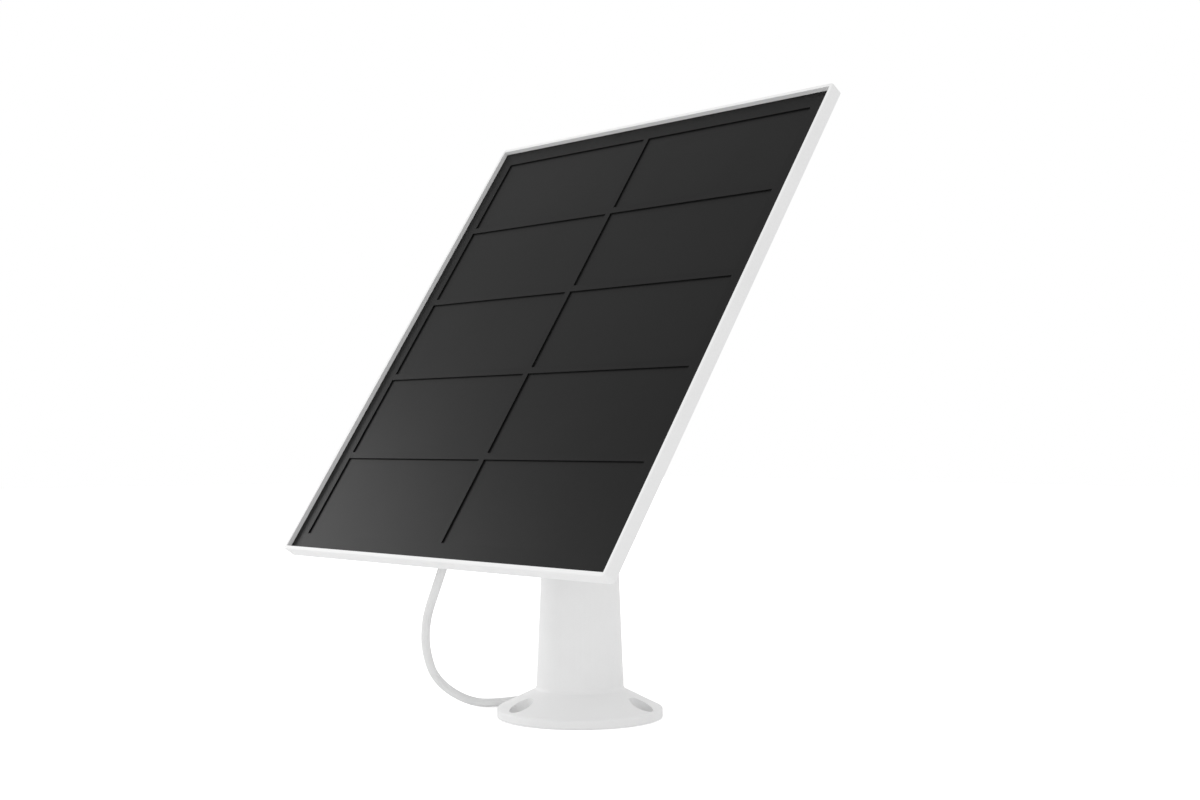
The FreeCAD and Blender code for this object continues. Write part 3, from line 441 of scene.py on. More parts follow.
@dataclass
class Painter:
    """Makes each finish's material once and dresses pieces in it."""

    made: dict[str, bpy.types.Material] = field(default_factory=dict)
    cloud_detail: float = 3.0
    cloud_roughness: float = 0.55
    grain_share: float = 0.5
    shade_stop: float = 0.42
    colour_stop: float = 0.85
    least_roughness: float = 0.02
    bump_strength: float = 0.6
    noise_roughness: float = 0.6
    thread_pitch: float = 20.0
    thread_wobble: float = 0.4
    groove_width: float = 0.35

    def material(self, finish: Finish) -> bpy.types.Material:
        """The finish's material, made the first time it is asked for."""
        if finish.name not in self.made:
            self.made[finish.name] = self.build(finish)
        return self.made[finish.name]

    def build(self, finish: Finish) -> bpy.types.Material:
        """Builds a material whose colour, roughness and bump all come from patterns.

        Args:
            finish: What the surface is made of and how it was made.

        Returns:
            The material.
        """
        material = bpy.data.materials.new(finish.name)
        tree = new_tree(material)
        place = add_node(tree, "TexCoord").outputs["Object"]
        mapping = add_node(tree, "Mapping", {"Vector": place, "Scale": finish.stretch})
        # slow clouds of colour, as a moulding or casting has from its flow
        clouds = {
            "Vector": place,
            "Scale": 1 / (finish.cloud_mm * MM),
            "Detail": self.cloud_detail,
            "Roughness": self.cloud_roughness,
        }
        cloud = add_node(tree, "TexNoise", clouds).outputs["Fac"]
        grain = self.grain(tree, finish, mapping.outputs["Vector"])
        both = add_node(
            tree, "Math", {0: grain, 1: self.grain_share, 2: cloud}, operation="MULTIPLY_ADD"
        ).outputs[0]
        stops = [
            (self.shade_stop, linear(finish.shade)),
            (self.colour_stop, linear(finish.colour)),
        ]
        roughness = {
            "Value": grain,
            "To Min": max(self.least_roughness, finish.roughness - finish.roughness_spread),
            "To Max": min(1.0, finish.roughness + finish.roughness_spread),
        }
        relief = {
            "Height": grain,
            "Strength": self.bump_strength,
            "Distance": finish.bump_mm * MM,
        }
        surface = {
            "Base Color": ramp_of(tree, both, stops),
            "Roughness": add_node(tree, "MapRange", roughness).outputs["Result"],
            "Normal": add_node(tree, "Bump", relief).outputs["Normal"],
            "Metallic": finish.metallic,
            "Coat Weight": finish.coat,
            "Coat Roughness": finish.coat_roughness,
            "Sheen Weight": finish.sheen,
            "Specular IOR Level": finish.specular,
        }
        if finish.ior is not None:
            surface["IOR"] = finish.ior
        shader = add_node(tree, "BsdfPrincipled", surface)
        add_node(tree, "OutputMaterial", {"Surface": shader.outputs["BSDF"]})
        return material

    def grain(
        self, tree: bpy.types.NodeTree, finish: Finish, place: bpy.types.NodeSocket
    ) -> bpy.types.NodeSocket:
        """The fine pattern of a finish, from 0 to 1.

        Args:
            tree: The material's node tree.
            finish: The finish.
            place: The coordinates, in metres.

        Returns:
            The pattern's value output.
        """
        scale = 1 / (finish.grain_mm * MM)
        pattern = {"Vector": place, "Scale": scale}
        if finish.pattern is Pattern.WOVEN:
            # glass cloth under resin: two sets of threads crossing
            threads = {
                "Vector": place,
                "Scale": scale / self.thread_pitch,
                "Distortion": self.thread_wobble,
                "Detail": 1.0,
            }
            warp, weft = (
                add_node(tree, "TexWave", threads, bands_direction=way).outputs["Fac"]
                for way in ("X", "Y")
            )
            return add_node(tree, "Math", {0: warp, 1: weft}, operation="MULTIPLY").outputs[0]
        if finish.pattern is Pattern.KNURLED:
            cells = add_node(tree, "TexVoronoi", pattern, feature="DISTANCE_TO_EDGE")
            groove = {"Value": cells.outputs["Distance"], "From Max": self.groove_width}
            return add_node(tree, "MapRange", groove).outputs["Result"]
        if finish.pattern is Pattern.FOAM:
            # closed cells, cut open at the surface
            return add_node(tree, "TexVoronoi", pattern, feature="F1").outputs["Distance"]
        pattern["Detail"] = NOISE_DETAIL[finish.pattern]
        pattern["Roughness"] = self.noise_roughness
        return add_node(tree, "TexNoise", pattern).outputs["Fac"]

    def dress(self, piece: bpy.types.Object, finish: Finish) -> None:
        """Puts a finish on every material slot of a piece."""
        material = self.material(finish)
        if not piece.material_slots:
            piece.data.materials.append(material)
        for slot in piece.material_slots:
            slot.material = material


# What every material slot of the record is finished in.  After the name come the light and the
# dark colour, the pattern, the roughness and its spread, and then the grain, the depth of its
# relief and the clouds, all three in millimetres.
SLOT_FINISH: dict[str, Finish] = {
    # Weather-proof ASA, moulded in a spark-eroded tool: an even, very fine satin that scatters
    # light softly and keeps no mirror image.  The grain is drawn at 0.45 mm so that it shows.
    "white_asa": Finish(
        "moulded_white_asa", "#ECECEC", "#E8E8E8", Pattern.MOULDED, 0.5, 0.05, 0.45, 0.012, 26.0,
        ior=1.5,
    ),
    # The knob's ASA, a touch greyer and glossier where fingers turn it.
    "grey_knob": Finish(
        "moulded_knob_asa", "#DEDEDE", "#D2D2D2", Pattern.MOULDED, 0.46, 0.07, 0.5, 0.015, 9.0,
        ior=1.5,
    ),
    # Thermoplastic elastomer, extruded: matt and slightly dusty, with faint draw marks.
    "white_tpe": Finish(
        "extruded_white_tpe", "#E4E4E4", "#DADADA", Pattern.MOULDED, 0.66, 0.07, 0.55, 0.03, 12.0,
        ior=1.5, sheen=0.08,
    ),
    # Black polyester film laminated over the board with a fine matt emboss: a broad, weak
    # highlight that turns the black to a soft grey towards the light.
    "black_mask": Finish(
        "embossed_black_laminate", "#151515", "#101010", Pattern.FILM, 0.36, 0.04, 0.5, 0.01, 45.0,
        ior=1.5, specular=0.08,
    ),
    # Coated silicon under the same embossed film: hardly lighter than the mask, and as matt.
    "silicon_cell": Finish(
        "coated_silicon_cell", "#161616", "#111111", Pattern.FILM, 0.36, 0.04, 0.5, 0.01, 60.0,
        ior=1.5, specular=0.08,
    ),
    # Closed-cell polyethylene foam, die cut: tiny cells, no gloss.
    "grey_foam": Finish(
        "cut_grey_foam", "#5C5C5E", "#444446", Pattern.FOAM, 0.9, 0.05, 0.5, 0.08, 8.0,
    ),
    # Acetal, turned from rod: waxy white with fine rings.
    "acetal": Finish(
        "turned_acetal", "#EDEDE6", "#DFDFD6", Pattern.TURNED, 0.4, 0.06, 0.3, 0.01, 10.0,
        ior=1.48, stretch=(1.0, 1.0, 6.0),
    ),
    # Brass, turned and knurled: warm metal with a cut surface.
    "brass_insert": Finish(
        "turned_brass", "#D9BC72", "#B8964A", Pattern.KNURLED, 0.32, 0.1, 0.6, 0.05, 4.0,
        metallic=1.0,
    ),
    # Stainless steel, cold headed, threaded and passivated: grey, with fine drawn lines.
    "stainless": Finish(
        "headed_stainless_steel", "#CFCFCF", "#B4B4B2", Pattern.TURNED, 0.3, 0.1, 0.25, 0.008, 3.0,
        metallic=1.0, stretch=(1.0, 1.0, 4.0),
    ),
    # Copper ribbon, dipped in tin: bright with a slightly lumpy coat.
    "tinned_ribbon": Finish(
        "tinned_copper_ribbon", "#C9CACB", "#ABADAF", Pattern.TURNED, 0.28, 0.09, 0.4, 0.02, 2.0,
        metallic=1.0,
    ),
    # Glass-epoxy board under green solder mask: the cloth shows as a faint grid.
    "board": Finish(
        "glass_epoxy_board", "#234D33", "#183B27", Pattern.WOVEN, 0.35, 0.08, 0.6, 0.015, 12.0,
        ior=1.55, coat=0.3,
    ),
    # Acrylic adhesive film: milky, soft and a little glossy.
    "film": Finish(
        "acrylic_adhesive_film", "#D8D8D2", "#C6C6BE", Pattern.FILM, 0.35, 0.08, 0.6, 0.02, 10.0,
        ior=1.47,
    ),
    # Pressed and sintered ferrite powder: dark grey and slightly pitted.
    "ferrite": Finish(
        "sintered_ferrite", "#3A3A3C", "#29292B", Pattern.FOAM, 0.6, 0.08, 0.3, 0.03, 2.0,
    ),
    # Epoxy moulding compound on the chips: near black with a fine sandy face.
    "chip": Finish(
        "moulded_black_epoxy", "#262626", "#1C1C1C", Pattern.MOULDED, 0.55, 0.06, 0.15, 0.01, 2.0,
        ior=1.55,
    ),
    # Silicone band, moulded: soft black with a dusty bloom.
    "black_tie": Finish(
        "moulded_black_silicone", "#2B2B2B", "#1E1E1E", Pattern.MOULDED, 0.68, 0.08, 0.4, 0.02, 5.0,
        ior=1.41, sheen=0.15,
    ),
}


@dataclass
class Assembly:
    """What every sub-assembly shares: the painter, and one way to hand a piece over."""

    painter: Painter

    def hand_over(
        self,
        piece: bpy.types.Object,
        slot: str,
        body: str | None,
        replaces: tuple[str, ...] = (),
    ) -> bpy.types.Object:
        """Dresses a new piece in its slot's finish and ties it to the part.

        Args:
            piece: The finished mesh object.
            slot: The record's material slot.
            body: The body it rides on, or None if it runs between two, which leaves it unattached.
            replaces: The part's nodes that it stands for.

        Returns:
            The piece.
        """
        self.painter.dress(piece, SLOT_FINISH[slot])
        if replaces:
            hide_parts(*replaces)
        if body is not None:
            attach(piece, body)
        LOG.info("%s: %d faces, %s", piece.name, len(piece.data.polygons), slot)
        return piece


# ---- camera, light and floor -------------------------------------------------------------------

WHITE = (1.0, 1.0, 1.0, 1.0)


@dataclass(frozen=True)
class Softbox:
    """One square soft light: where it hangs and its side in metres, and its power in watts."""

    name: str
    place: Point
    size: float
    power: float


@dataclass
class Studio:
    """A plain white studio: a pale floor, soft boxes and the camera."""

    camera_place: Point = (0.4534, -0.4023, 0.09855)
    camera_forward: Point = (-0.7398, 0.6724, 0.0259)
    lens_mm: float = 50.0
    sensor_mm: float = 36.0
    nearest: float = 0.01
    farthest: float = 50.0
    floor_size: float = 6.0
    floor_drop: float = 0.0002
    floor_grain: float = 600.0
    floor_roughness: float = 0.9
    floor_specular: float = 0.1
    world_strength: float = 0.88
    floor_glow: float = 0.08
    floor_glow_seen: float = 0.45
    target: Point = (0.0, 0.0, 0.1)
    boxes: tuple[Softbox, ...] = (
        Softbox("left_box", (-1.15, -0.42, 0.48), size=0.5, power=3.2),
        Softbox("front_box", (0.3, -1.3, 0.15), size=0.6, power=1.0),
    )

    def place_camera(self) -> None:
        """Adds the camera and makes it the scene's."""
        data = bpy.data.cameras.new("camera")
        data.lens = self.lens_mm
        data.sensor_width = self.sensor_mm
        data.clip_start = self.nearest
        data.clip_end = self.farthest
        camera = add_object("camera", data)
        camera.location = self.camera_place
        camera.rotation_mode = "QUATERNION"
        camera.rotation_quaternion = Vector(self.camera_forward).to_track_quat("-Z", "Y")
        bpy.context.scene.camera = camera

    def fill_world(self) -> None:
        """Surrounds the part with even white light and shows the backdrop as white."""
        world = bpy.data.worlds.new("studio")
        bpy.context.scene.world = world
        tree = new_tree(world)
        seen = add_node(tree, "LightPath").outputs["Is Camera Ray"]
        lit, shown = (
            add_node(tree, "Background", {"Color": WHITE, "Strength": strength}).outputs[0]
            for strength in (self.world_strength, 1.0)
        )
        mixed = add_node(tree, "MixShader", {"Fac": seen, 1: lit, 2: shown})
        add_node(tree, "OutputWorld", {"Surface": mixed.outputs[0]})

    def hang_softbox(self, box: Softbox) -> None:
        """Adds one soft light that points at the studio's target."""
        data = bpy.data.lights.new(box.name, "AREA")
        data.shape = "SQUARE"
        data.size = box.size
        data.energy = box.power
        light = add_object(box.name, data)
        light.location = box.place
        aim = Vector(self.target) - Vector(box.place)
        light.rotation_euler = aim.to_track_quat("-Z", "Y").to_euler()

    def lay_floor(self) -> None:
        """Lays a pale seamless floor that is not part of the object."""
        deselect_all()
        bpy.ops.mesh.primitive_plane_add(size=self.floor_size, location=(0, 0, -self.floor_drop))
        floor = named("floor")
        settle(floor)
        material = bpy.data.materials.new("pale_studio_floor")
        tree = new_tree(material)
        place = add_node(tree, "TexCoord").outputs["Object"]
        paper = add_node(tree, "TexNoise", {"Vector": place, "Scale": self.floor_grain})
        stops = [(0.3, linear("#F6F6F6")), (0.7, linear("#FAFAFA"))]
        seen = add_node(tree, "LightPath").outputs["Is Camera Ray"]
        glow = {"Value": seen, "To Min": self.floor_glow, "To Max": self.floor_glow_seen}
        surface = {
            "Base Color": ramp_of(tree, paper.outputs["Fac"], stops),
            "Emission Strength": add_node(tree, "MapRange", glow).outputs["Result"],
            "Roughness": self.floor_roughness,
            "Specular IOR Level": self.floor_specular,
            "Emission Color": WHITE,
        }
        shader = add_node(tree, "BsdfPrincipled", surface)
        add_node(tree, "OutputMaterial", {"Surface": shader.outputs["BSDF"]})
        floor.data.materials.append(material)

    def build(self) -> None:
        """Sets up the camera, lights, world and floor."""
        self.place_camera()
        self.fill_world()
        self.lay_floor()
        for box in self.boxes:
            self.hang_softbox(box)
        view = bpy.context.scene.view_settings
        view.view_transform = "Standard"
        view.look = "None"
        LOG.info("studio: camera at %s", self.camera_place)


# ---- the lead ------------------------------------------------------------------------------------


@dataclass
class Lead(Assembly):
    """The lead: one cord from the gland to its plug, wound into a tied hank on the way."""

    diameter: float = 0.0032
    start: Point = (-0.01, -0.03762, 0.09436)
    route: tuple[Point, ...] = (
        (-0.01, -0.04473, 0.08348),
        (-0.0102, -0.0490, 0.0715),
        (-0.0123, -0.0512, 0.0590),
        (-0.0175, -0.0518, 0.0478),
        (-0.0248, -0.0502, 0.0380),
        (-0.0326, -0.0454, 0.0290),
        (-0.0403, -0.0388, 0.0215),
        (-0.0452, -0.0323, 0.0130),
        (-0.0448, -0.0247, 0.0060),
        (-0.0398, -0.0167, 0.0016),
        (-0.0354, -0.0080, 0.0016),
        (-0.0352, 0.0015, 0.0016),
        (-0.0376, 0.0131, 0.0016),
        (-0.04329, 0.0230, 0.0016),
    )
    hank_start: float = 0.058
    hank_length: float = 0.079
    hank_height: float = 0.0128
    half_widths: tuple[float, ...] = (0.0136, 0.0120, 0.0104, 0.0088, 0.0072)
    mouth_side: float = 0.0121
    layers: int = 4
    run_steps: int = 5
    fold_steps: int = 6
    fold_swell: float = 1.03
    turn_back: float = 0.0068
    turn_shift: float = 0.0010
    bend_start: Point = (0.0, -0.0099, 0.0099)
    bend_end: Point = (0.0, -0.0658, 0.0658)
    squeeze: float = 0.0008
    pinch_reach: float = 2.2
    tie_half: float = 0.003
    tie_thickness: float = 0.0008
    tie_corner: float = 0.0016
    tie_edge: float = 0.00025
    ring_points: int = 14
    plug_rise: float = 0.0031
    plug_overlap: float = 0.0032
    sleeve_length: float = 0.009
    grip_length: float = 0.019

    def waist(self) -> float:
        """Where the hank's middle is, along it."""
        return self.hank_start + self.hank_length / 2

    def fold_centres(self) -> tuple[float, float]:
        """Where the folds' centres are along the hank, near end first."""
        outer = self.half_widths[0] + self.diameter / 2
        return self.hank_start + outer, self.hank_start + self.hank_length - outer

    def run(self, width: float, low: float, high: float, forward: bool) -> list[Point]:
        """The points of one straight run, pinched where the tie holds it.

        Args:
            width: The run's distance from the hank's middle, with its sign.
            low: The height at the run's start.
            high: The height at its end.
            forward: True if it runs away from the mount.

        Returns:
            Points in the hank's frame.
        """
        near, far = self.fold_centres()
        middle = self.hank_height / 2
        points = []
        for step in range(self.run_steps):
            share = (step + 0.5) / self.run_steps
            along = near + (far - near) * (share if forward else 1 - share)
            height = low + (high - low) * share
            pinch = max(0.0, 1 - abs(along - self.waist()) / (self.pinch_reach * self.tie_half))
            side = width * (1 - pinch * self.squeeze / self.half_widths[0])
            level = height + (middle - height) * pinch * self.squeeze / (middle - self.diameter / 2)
            points.append((along, side, level))
        return points

    def fold(self, begin: float, end: float, height: float, far: bool) -> list[Point]:
        """The points of one fold, whose radius goes from one run's width to the next.

        Args:
            begin: The width of the run that it leaves, with its sign.
            end: The width of the run that it joins, with its sign.
            height: Its level.
            far: True at the end away from the mount.

        Returns:
            Points in the hank's frame.
        """
        centre = self.fold_centres()[1 if far else 0]
        outward = 1.0 if far else -1.0
        side = math.copysign(1.0, begin)
        points = []
        for step in range(self.fold_steps):
            share = (step + 0.5) / self.fold_steps
            angle = math.pi * share
            # a spline of this order runs just inside its points, so they stand a little out
            radius = (abs(begin) + (abs(end) - abs(begin)) * share) * self.fold_swell
            along = centre + outward * radius * math.sin(angle)
            points.append((along, side * radius * math.cos(angle), height))
        return points

    def half_turn(
        self, ranks: tuple[int, int], levels: tuple[float, float], forward: bool, side: float
    ) -> list[Point]:
        """One run and the fold at its end.

        Args:
            ranks: Which of the half widths it leaves, and which it joins.
            levels: The heights at the run's start and end.
            forward: True if it runs away from the mount.
            side: The run's side of the hank, 1.0 or -1.0.

        Returns:
            Points in the hank's frame.
        """
        width, ahead = (self.half_widths[rank] * side for rank in ranks)
        return self.run(width, *levels, forward) + self.fold(width, -ahead, levels[1], forward)

    def winding(self) -> list[Point]:
        """The hank's turns: inwards on one layer, up, outwards on the next, and so on."""
        level = self.diameter / 2
        # the first point is the hank's mouth, where the route comes in
        points: list[Point] = [(self.hank_start, self.mouth_side, level)]
        last = len(self.half_widths) - 1
        rank, forward, side = 0, True, 1.0
        for layer in range(self.layers):
            step = 1 if layer % 2 == 0 else -1
            closing = layer == self.layers - 1
            target = 1 if closing else (last if step > 0 else 0)
            while rank != target:
                points += self.half_turn((rank, rank + step), (level, level), forward, side)
                rank, forward, side = rank + step, not forward, -side
            if closing:
                break
            upper = level + self.diameter
            points += self.half_turn((rank, rank - step), (level, upper), forward, side)
            level = upper
            rank, forward, side = rank - step, not forward, -side
        return points + self.rise_to_plug(level)

    def rise_to_plug(self, level: float) -> list[Point]:
        """The last run, which climbs over the folds and turns back along the top to the plug."""
        near, _ = self.fold_centres()
        side = -self.half_widths[1]
        top = self.hank_height + self.plug_rise
        gap, first_lift, steepness = 0.0004, 0.45, 2.2
        take_off, out, up = 0.0050, 0.0005, 0.0006
        clear = level + self.diameter + gap
        centre = near - self.turn_shift
        # the curve runs just inside its points, so they stand on a slightly wider circle
        wide = self.turn_back / math.cos(math.pi / (2 * self.fold_steps))
        last_run = self.run(side, level, level, False)
        climb = [(near + take_off, side - out, level + up)]
        for step in range(self.fold_steps + 1):
            share = step / self.fold_steps
            angle = math.pi * share
            lift = min(1.0, first_lift + steepness * share)
            height = level + (clear - level) * lift + (top - clear) * share
            across = -self.turn_back - wide * math.cos(angle)
            climb.append((centre - wide * math.sin(angle), across, height))
        foot, reach = self.plug_foot(), self.plug_overlap
        ends = (near + reach, (near + foot) / 2, foot - 0.001, foot + reach)
        climb += [(along, 0.0, top) for along in ends]
        return last_run[:-1] + climb

    def control_points(self) -> list[Vector]:
        """The whole spline's control points in the part's frame."""
        turn = PLACES.hank()
        route = [Vector(point) for point in (self.start, *self.route)]
        return route + [turn @ Vector(point) for point in self.winding()]

    def centreline(self) -> list[Vector]:
        """The points of the smooth line through the control points.

        Returns:
            Points in the part's frame, close together.
        """
        curve = bpy.data.curves.new("lead_line", "CURVE")
        curve.dimensions = "3D"
        curve.resolution_u = 6
        spline = curve.splines.new("NURBS")
        controls = self.control_points()
        spline.points.add(len(controls) - 1)
        for point, control in zip(spline.points, controls):
            point.co = (*control, 1.0)
        spline.order_u = 3
        spline.use_endpoint_u = True
        line = add_object("lead_line", curve)
        bpy.context.view_layer.update()
        mesh = bpy.data.meshes.new_from_object(line)
        points = [vertex.co.copy() for vertex in mesh.vertices]
        bpy.data.objects.remove(line)
        bpy.data.curves.remove(curve)
        bpy.data.meshes.remove(mesh)
        return points

    def tube(self, line: list[Vector]) -> bpy.types.Object:
        """A closed round tube along a line, twisted as little as it can be."""
        radius = self.diameter / 2
        count = self.ring_points
        vertices: list[Vector] = []
        faces: list[tuple[int, ...]] = []
        tangent = (line[1] - line[0]).normalized()
        across = tangent.orthogonal().normalized()
        for index, point in enumerate(line):
            before, after = line[max(0, index - 1)], line[min(len(line) - 1, index + 1)]
            new_tangent = (after - before).normalized()
            across = (tangent.rotation_difference(new_tangent) @ across).normalized()
            across = (across - new_tangent * across.dot(new_tangent)).normalized()
            tangent = new_tangent
            other = tangent.cross(across)
            for step in range(count):
                angle = math.tau * step / count
                offset = across * math.cos(angle) + other * math.sin(angle)
                vertices.append(point + offset * radius)
        for ring in range(len(line) - 1):
            for step in range(count):
                a, b = ring * count + step, ring * count + (step + 1) % count
                faces.append((a, b, b + count, a + count))
        faces.append(tuple(reversed(range(count))))
        faces.append(tuple(range((len(line) - 1) * count, len(line) * count)))
        mesh = bpy.data.meshes.new("lead_cord")
        mesh.from_pydata(vertices, [], faces)
        mesh.update()
        cord = add_object("lead_cord", mesh)
        smooth(cord, 60.0)
        return cord

    def make_tie(self) -> bpy.types.Object:
        """The soft band round the hank's waist, with rounded sides and a small overlap."""
        outer_y = self.half_widths[0] + self.diameter / 2
        centre = (self.waist(), 0.0, self.hank_height / 2)
        tie = block("hank_band", (self.tie_half * 2, outer_y * 2, self.hank_height), centre)
        edit(tie)
        choose(tie, lambda face: abs(face.normal.x) > NEARLY_ONE)
        bpy.ops.mesh.inset(thickness=self.tie_thickness, depth=0.0)
        bpy.ops.mesh.bridge_edge_loops()
        choose(tie, spans(0, self.tie_half), "EDGE")
        bpy.ops.mesh.bevel(offset=self.tie_corner, segments=6, affect="EDGES")
        leave()
        merge(tie)
        bevel(tie, self.tie_edge, 2, 40.0)
        settle(tie, PLACES.hank())
        smooth(tie)
        return tie

    def make_boot(self) -> bpy.types.Object:
        """The plug's strain relief: a tapered sleeve with three grooves in it."""
        base, tip, length, lip = 0.0029, 0.0020, self.sleeve_length, 0.0003
        spacing, depth, proud = 0.0022, 0.00045, 0.00005
        half_top, half_floor = 0.0006, 0.00035
        outline = [(tip - lip, 0.0), (tip, lip)]
        for groove in range(3):
            middle = spacing + groove * spacing
            radius = tip + (base - tip) * middle / length
            outline += [
                (radius, middle - half_top),
                (radius - depth, middle - half_floor),
                (radius - depth, middle + half_floor),
                (radius + proud, middle + half_top),
            ]
        boot = turned("plug_sleeve", [*outline, (base, length)], 40)
        bevel(boot, 0.00012, 2, 30.0)
        smooth(boot, 40.0)
        return boot

    def open_bar(self, name: str, size: Point, side: float) -> bpy.types.Object:
        """A bar that stands on the plug's foot with its long edges rounded, in edit mode.

        Args:
            name: The bar's name.
            size: Its thickness, width and length.
            side: How far the rounds reach.

        Returns:
            The bar.
        """
        bar = block(name, size, (0, 0, size[2] / 2))
        edit(bar)
        choose(bar, spans(2, size[2] / 2), "EDGE")
        bpy.ops.mesh.bevel(offset=side, segments=8, affect="EDGES")
        return bar

    def make_grip(self) -> bpy.types.Object:
        """The moulded grip: a flat body with full round sides, a step and finger ribs."""
        length, thick, wide, side = self.grip_length, 0.0062, 0.0106, 0.0022
        ribs = ((0.006, 0.0075), (0.009, 0.0105), (0.012, 0.0135))
        rib_inset, edge = 0.0003, 0.00035
        grip = self.open_bar("plug_body", (thick, wide, length), side)
        for level in (0.0016, 0.0045, *(end for rib in ribs for end in rib), 0.0165):
            bpy.ops.mesh.select_all(action="SELECT")
            bpy.ops.mesh.bisect(plane_co=(0, 0, level), plane_no=(0, 0, 1))
        for low, high in ribs:
            choose(
                grip,
                lambda face, low=low, high=high: abs(face.normal.x) > NEARLY_ONE
                and low < face.calc_center_median().z < high,
            )
            bpy.ops.mesh.inset(thickness=rib_inset, depth=-rib_inset)
        leave()
        bevel(grip, edge, 3, 50.0)
        smooth(grip, 40.0)
        return grip

    def make_shell(self) -> bpy.types.Object:
        """The plug's steel shell: a flat tube with round sides and the contact tongue in it."""
        length, thick, wide, wall, side = 0.0066, 0.0025, 0.0083, 0.0003, 0.00118
        back, gap, tongue, edge = 0.0006, 0.0005, 0.0042, 0.00006
        shell = self.open_bar("plug_mouth", (thick, wide, length), side)
        choose(shell, lambda face: face.normal.z > NEARLY_ONE)
        for inset, lift in ((wall, back - length), (gap, tongue)):
            bpy.ops.mesh.inset(thickness=inset, depth=0.0)
            bpy.ops.mesh.extrude_region_move(TRANSFORM_OT_translate={"value": (0.0, 0.0, lift)})
        leave()
        bevel(shell, edge, 2, 50.0)
        smooth(shell, 40.0)
        return shell

    def plug_foot(self) -> float:
        """Where the plug's sleeve starts, along the hank."""
        return self.waist() - self.sleeve_length

    def plug_frame(self, along: float) -> Matrix:
        """The plug's frame at a distance from its foot, with Z along the plug."""
        foot = Matrix.Translation((self.plug_foot(), 0.0, self.hank_height + self.plug_rise))
        lying = foot @ Matrix.Rotation(QUARTER_TURN, 4, "Y")
        return PLACES.hank() @ lying @ Matrix.Translation((0, 0, along))

    def build(self) -> None:
        line = self.centreline()
        cord = self.tube(line)
        self.hand_over(cord, "white_tpe", None, ("cord_run", "cord_hank"))
        tie = self.hand_over(self.make_tie(), "black_tie", "swivel", ("hank_tie",))
        boot = settle(self.make_boot(), self.plug_frame(0.0))
        grip = settle(self.make_grip(), self.plug_frame(self.sleeve_length))
        mouth = self.sleeve_length + self.grip_length
        shell = settle(self.make_shell(), self.plug_frame(mouth))
        self.hand_over(boot, "white_tpe", "swivel", ("plug_boot",))
        self.hand_over(grip, "white_asa", "swivel", ("plug_grip",))
        self.hand_over(shell, "stainless", "swivel", ("plug_shell",))
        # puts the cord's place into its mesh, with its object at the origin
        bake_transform(cord)


# ---- mouldings -----------------------------------------------------------------------------------


@dataclass(frozen=True)
class Moulding:
    """One white moulding: its node, its new name and body, and how far its edges are eased."""

    node: str
    name: str
    body: str
    edge_round: float
    segments: int = 2


@dataclass
class Mouldings(Assembly):
    """The white mouldings, with the small radius that a tool leaves on every outside edge."""

    pieces: tuple[Moulding, ...] = (
        Moulding("mount_base", "wall_mount", "mount", 0.00022),
        Moulding("swivel_head", "turning_head", "swivel", 0.0003),
        Moulding("panel_frame", "panel_tray", "panel", 0.0002),
        Moulding("rear_housing", "back_housing", "panel", 0.0005, 3),
        Moulding("tilt_bracket", "hinge_bracket", "panel", 0.00035, 3),
    )
    merge_distance: float = 2e-6
    flat_angle: float = 0.4

    def ease(self, moulding: Moulding) -> bpy.types.Object:
        """A copy of a node, joined into one skin and with its hard edges rounded.

        Args:
            moulding: Which node, and how round.

        Returns:
            The finished copy.
        """
        source = frame["nodes"][moulding.node]
        piece = copy_piece(source, moulding.name, Matrix.Identity(4))
        edit(piece, "VERT")
        bpy.ops.mesh.customdata_custom_splitnormals_clear()
        bpy.ops.mesh.select_all(action="SELECT")
        bpy.ops.mesh.remove_doubles(threshold=self.merge_distance)
        bpy.ops.mesh.dissolve_limited(angle_limit=math.radians(self.flat_angle))
        leave()
        bevel(piece, moulding.edge_round, moulding.segments, 40.0)
        smooth(piece, 35.0)
        # large flat faces keep their own normals beside the small faces of a round
        modify(piece, "WEIGHTED_NORMAL", keep_sharp=True)
        return piece

    def build(self) -> None:
        """Builds every moulding and hands it over."""
        for moulding in self.pieces:
            piece = self.ease(moulding)
            self.hand_over(piece, "white_asa", moulding.body, (moulding.node,))


# ---- hinge, knob and screws ----------------------------------------------------------------------


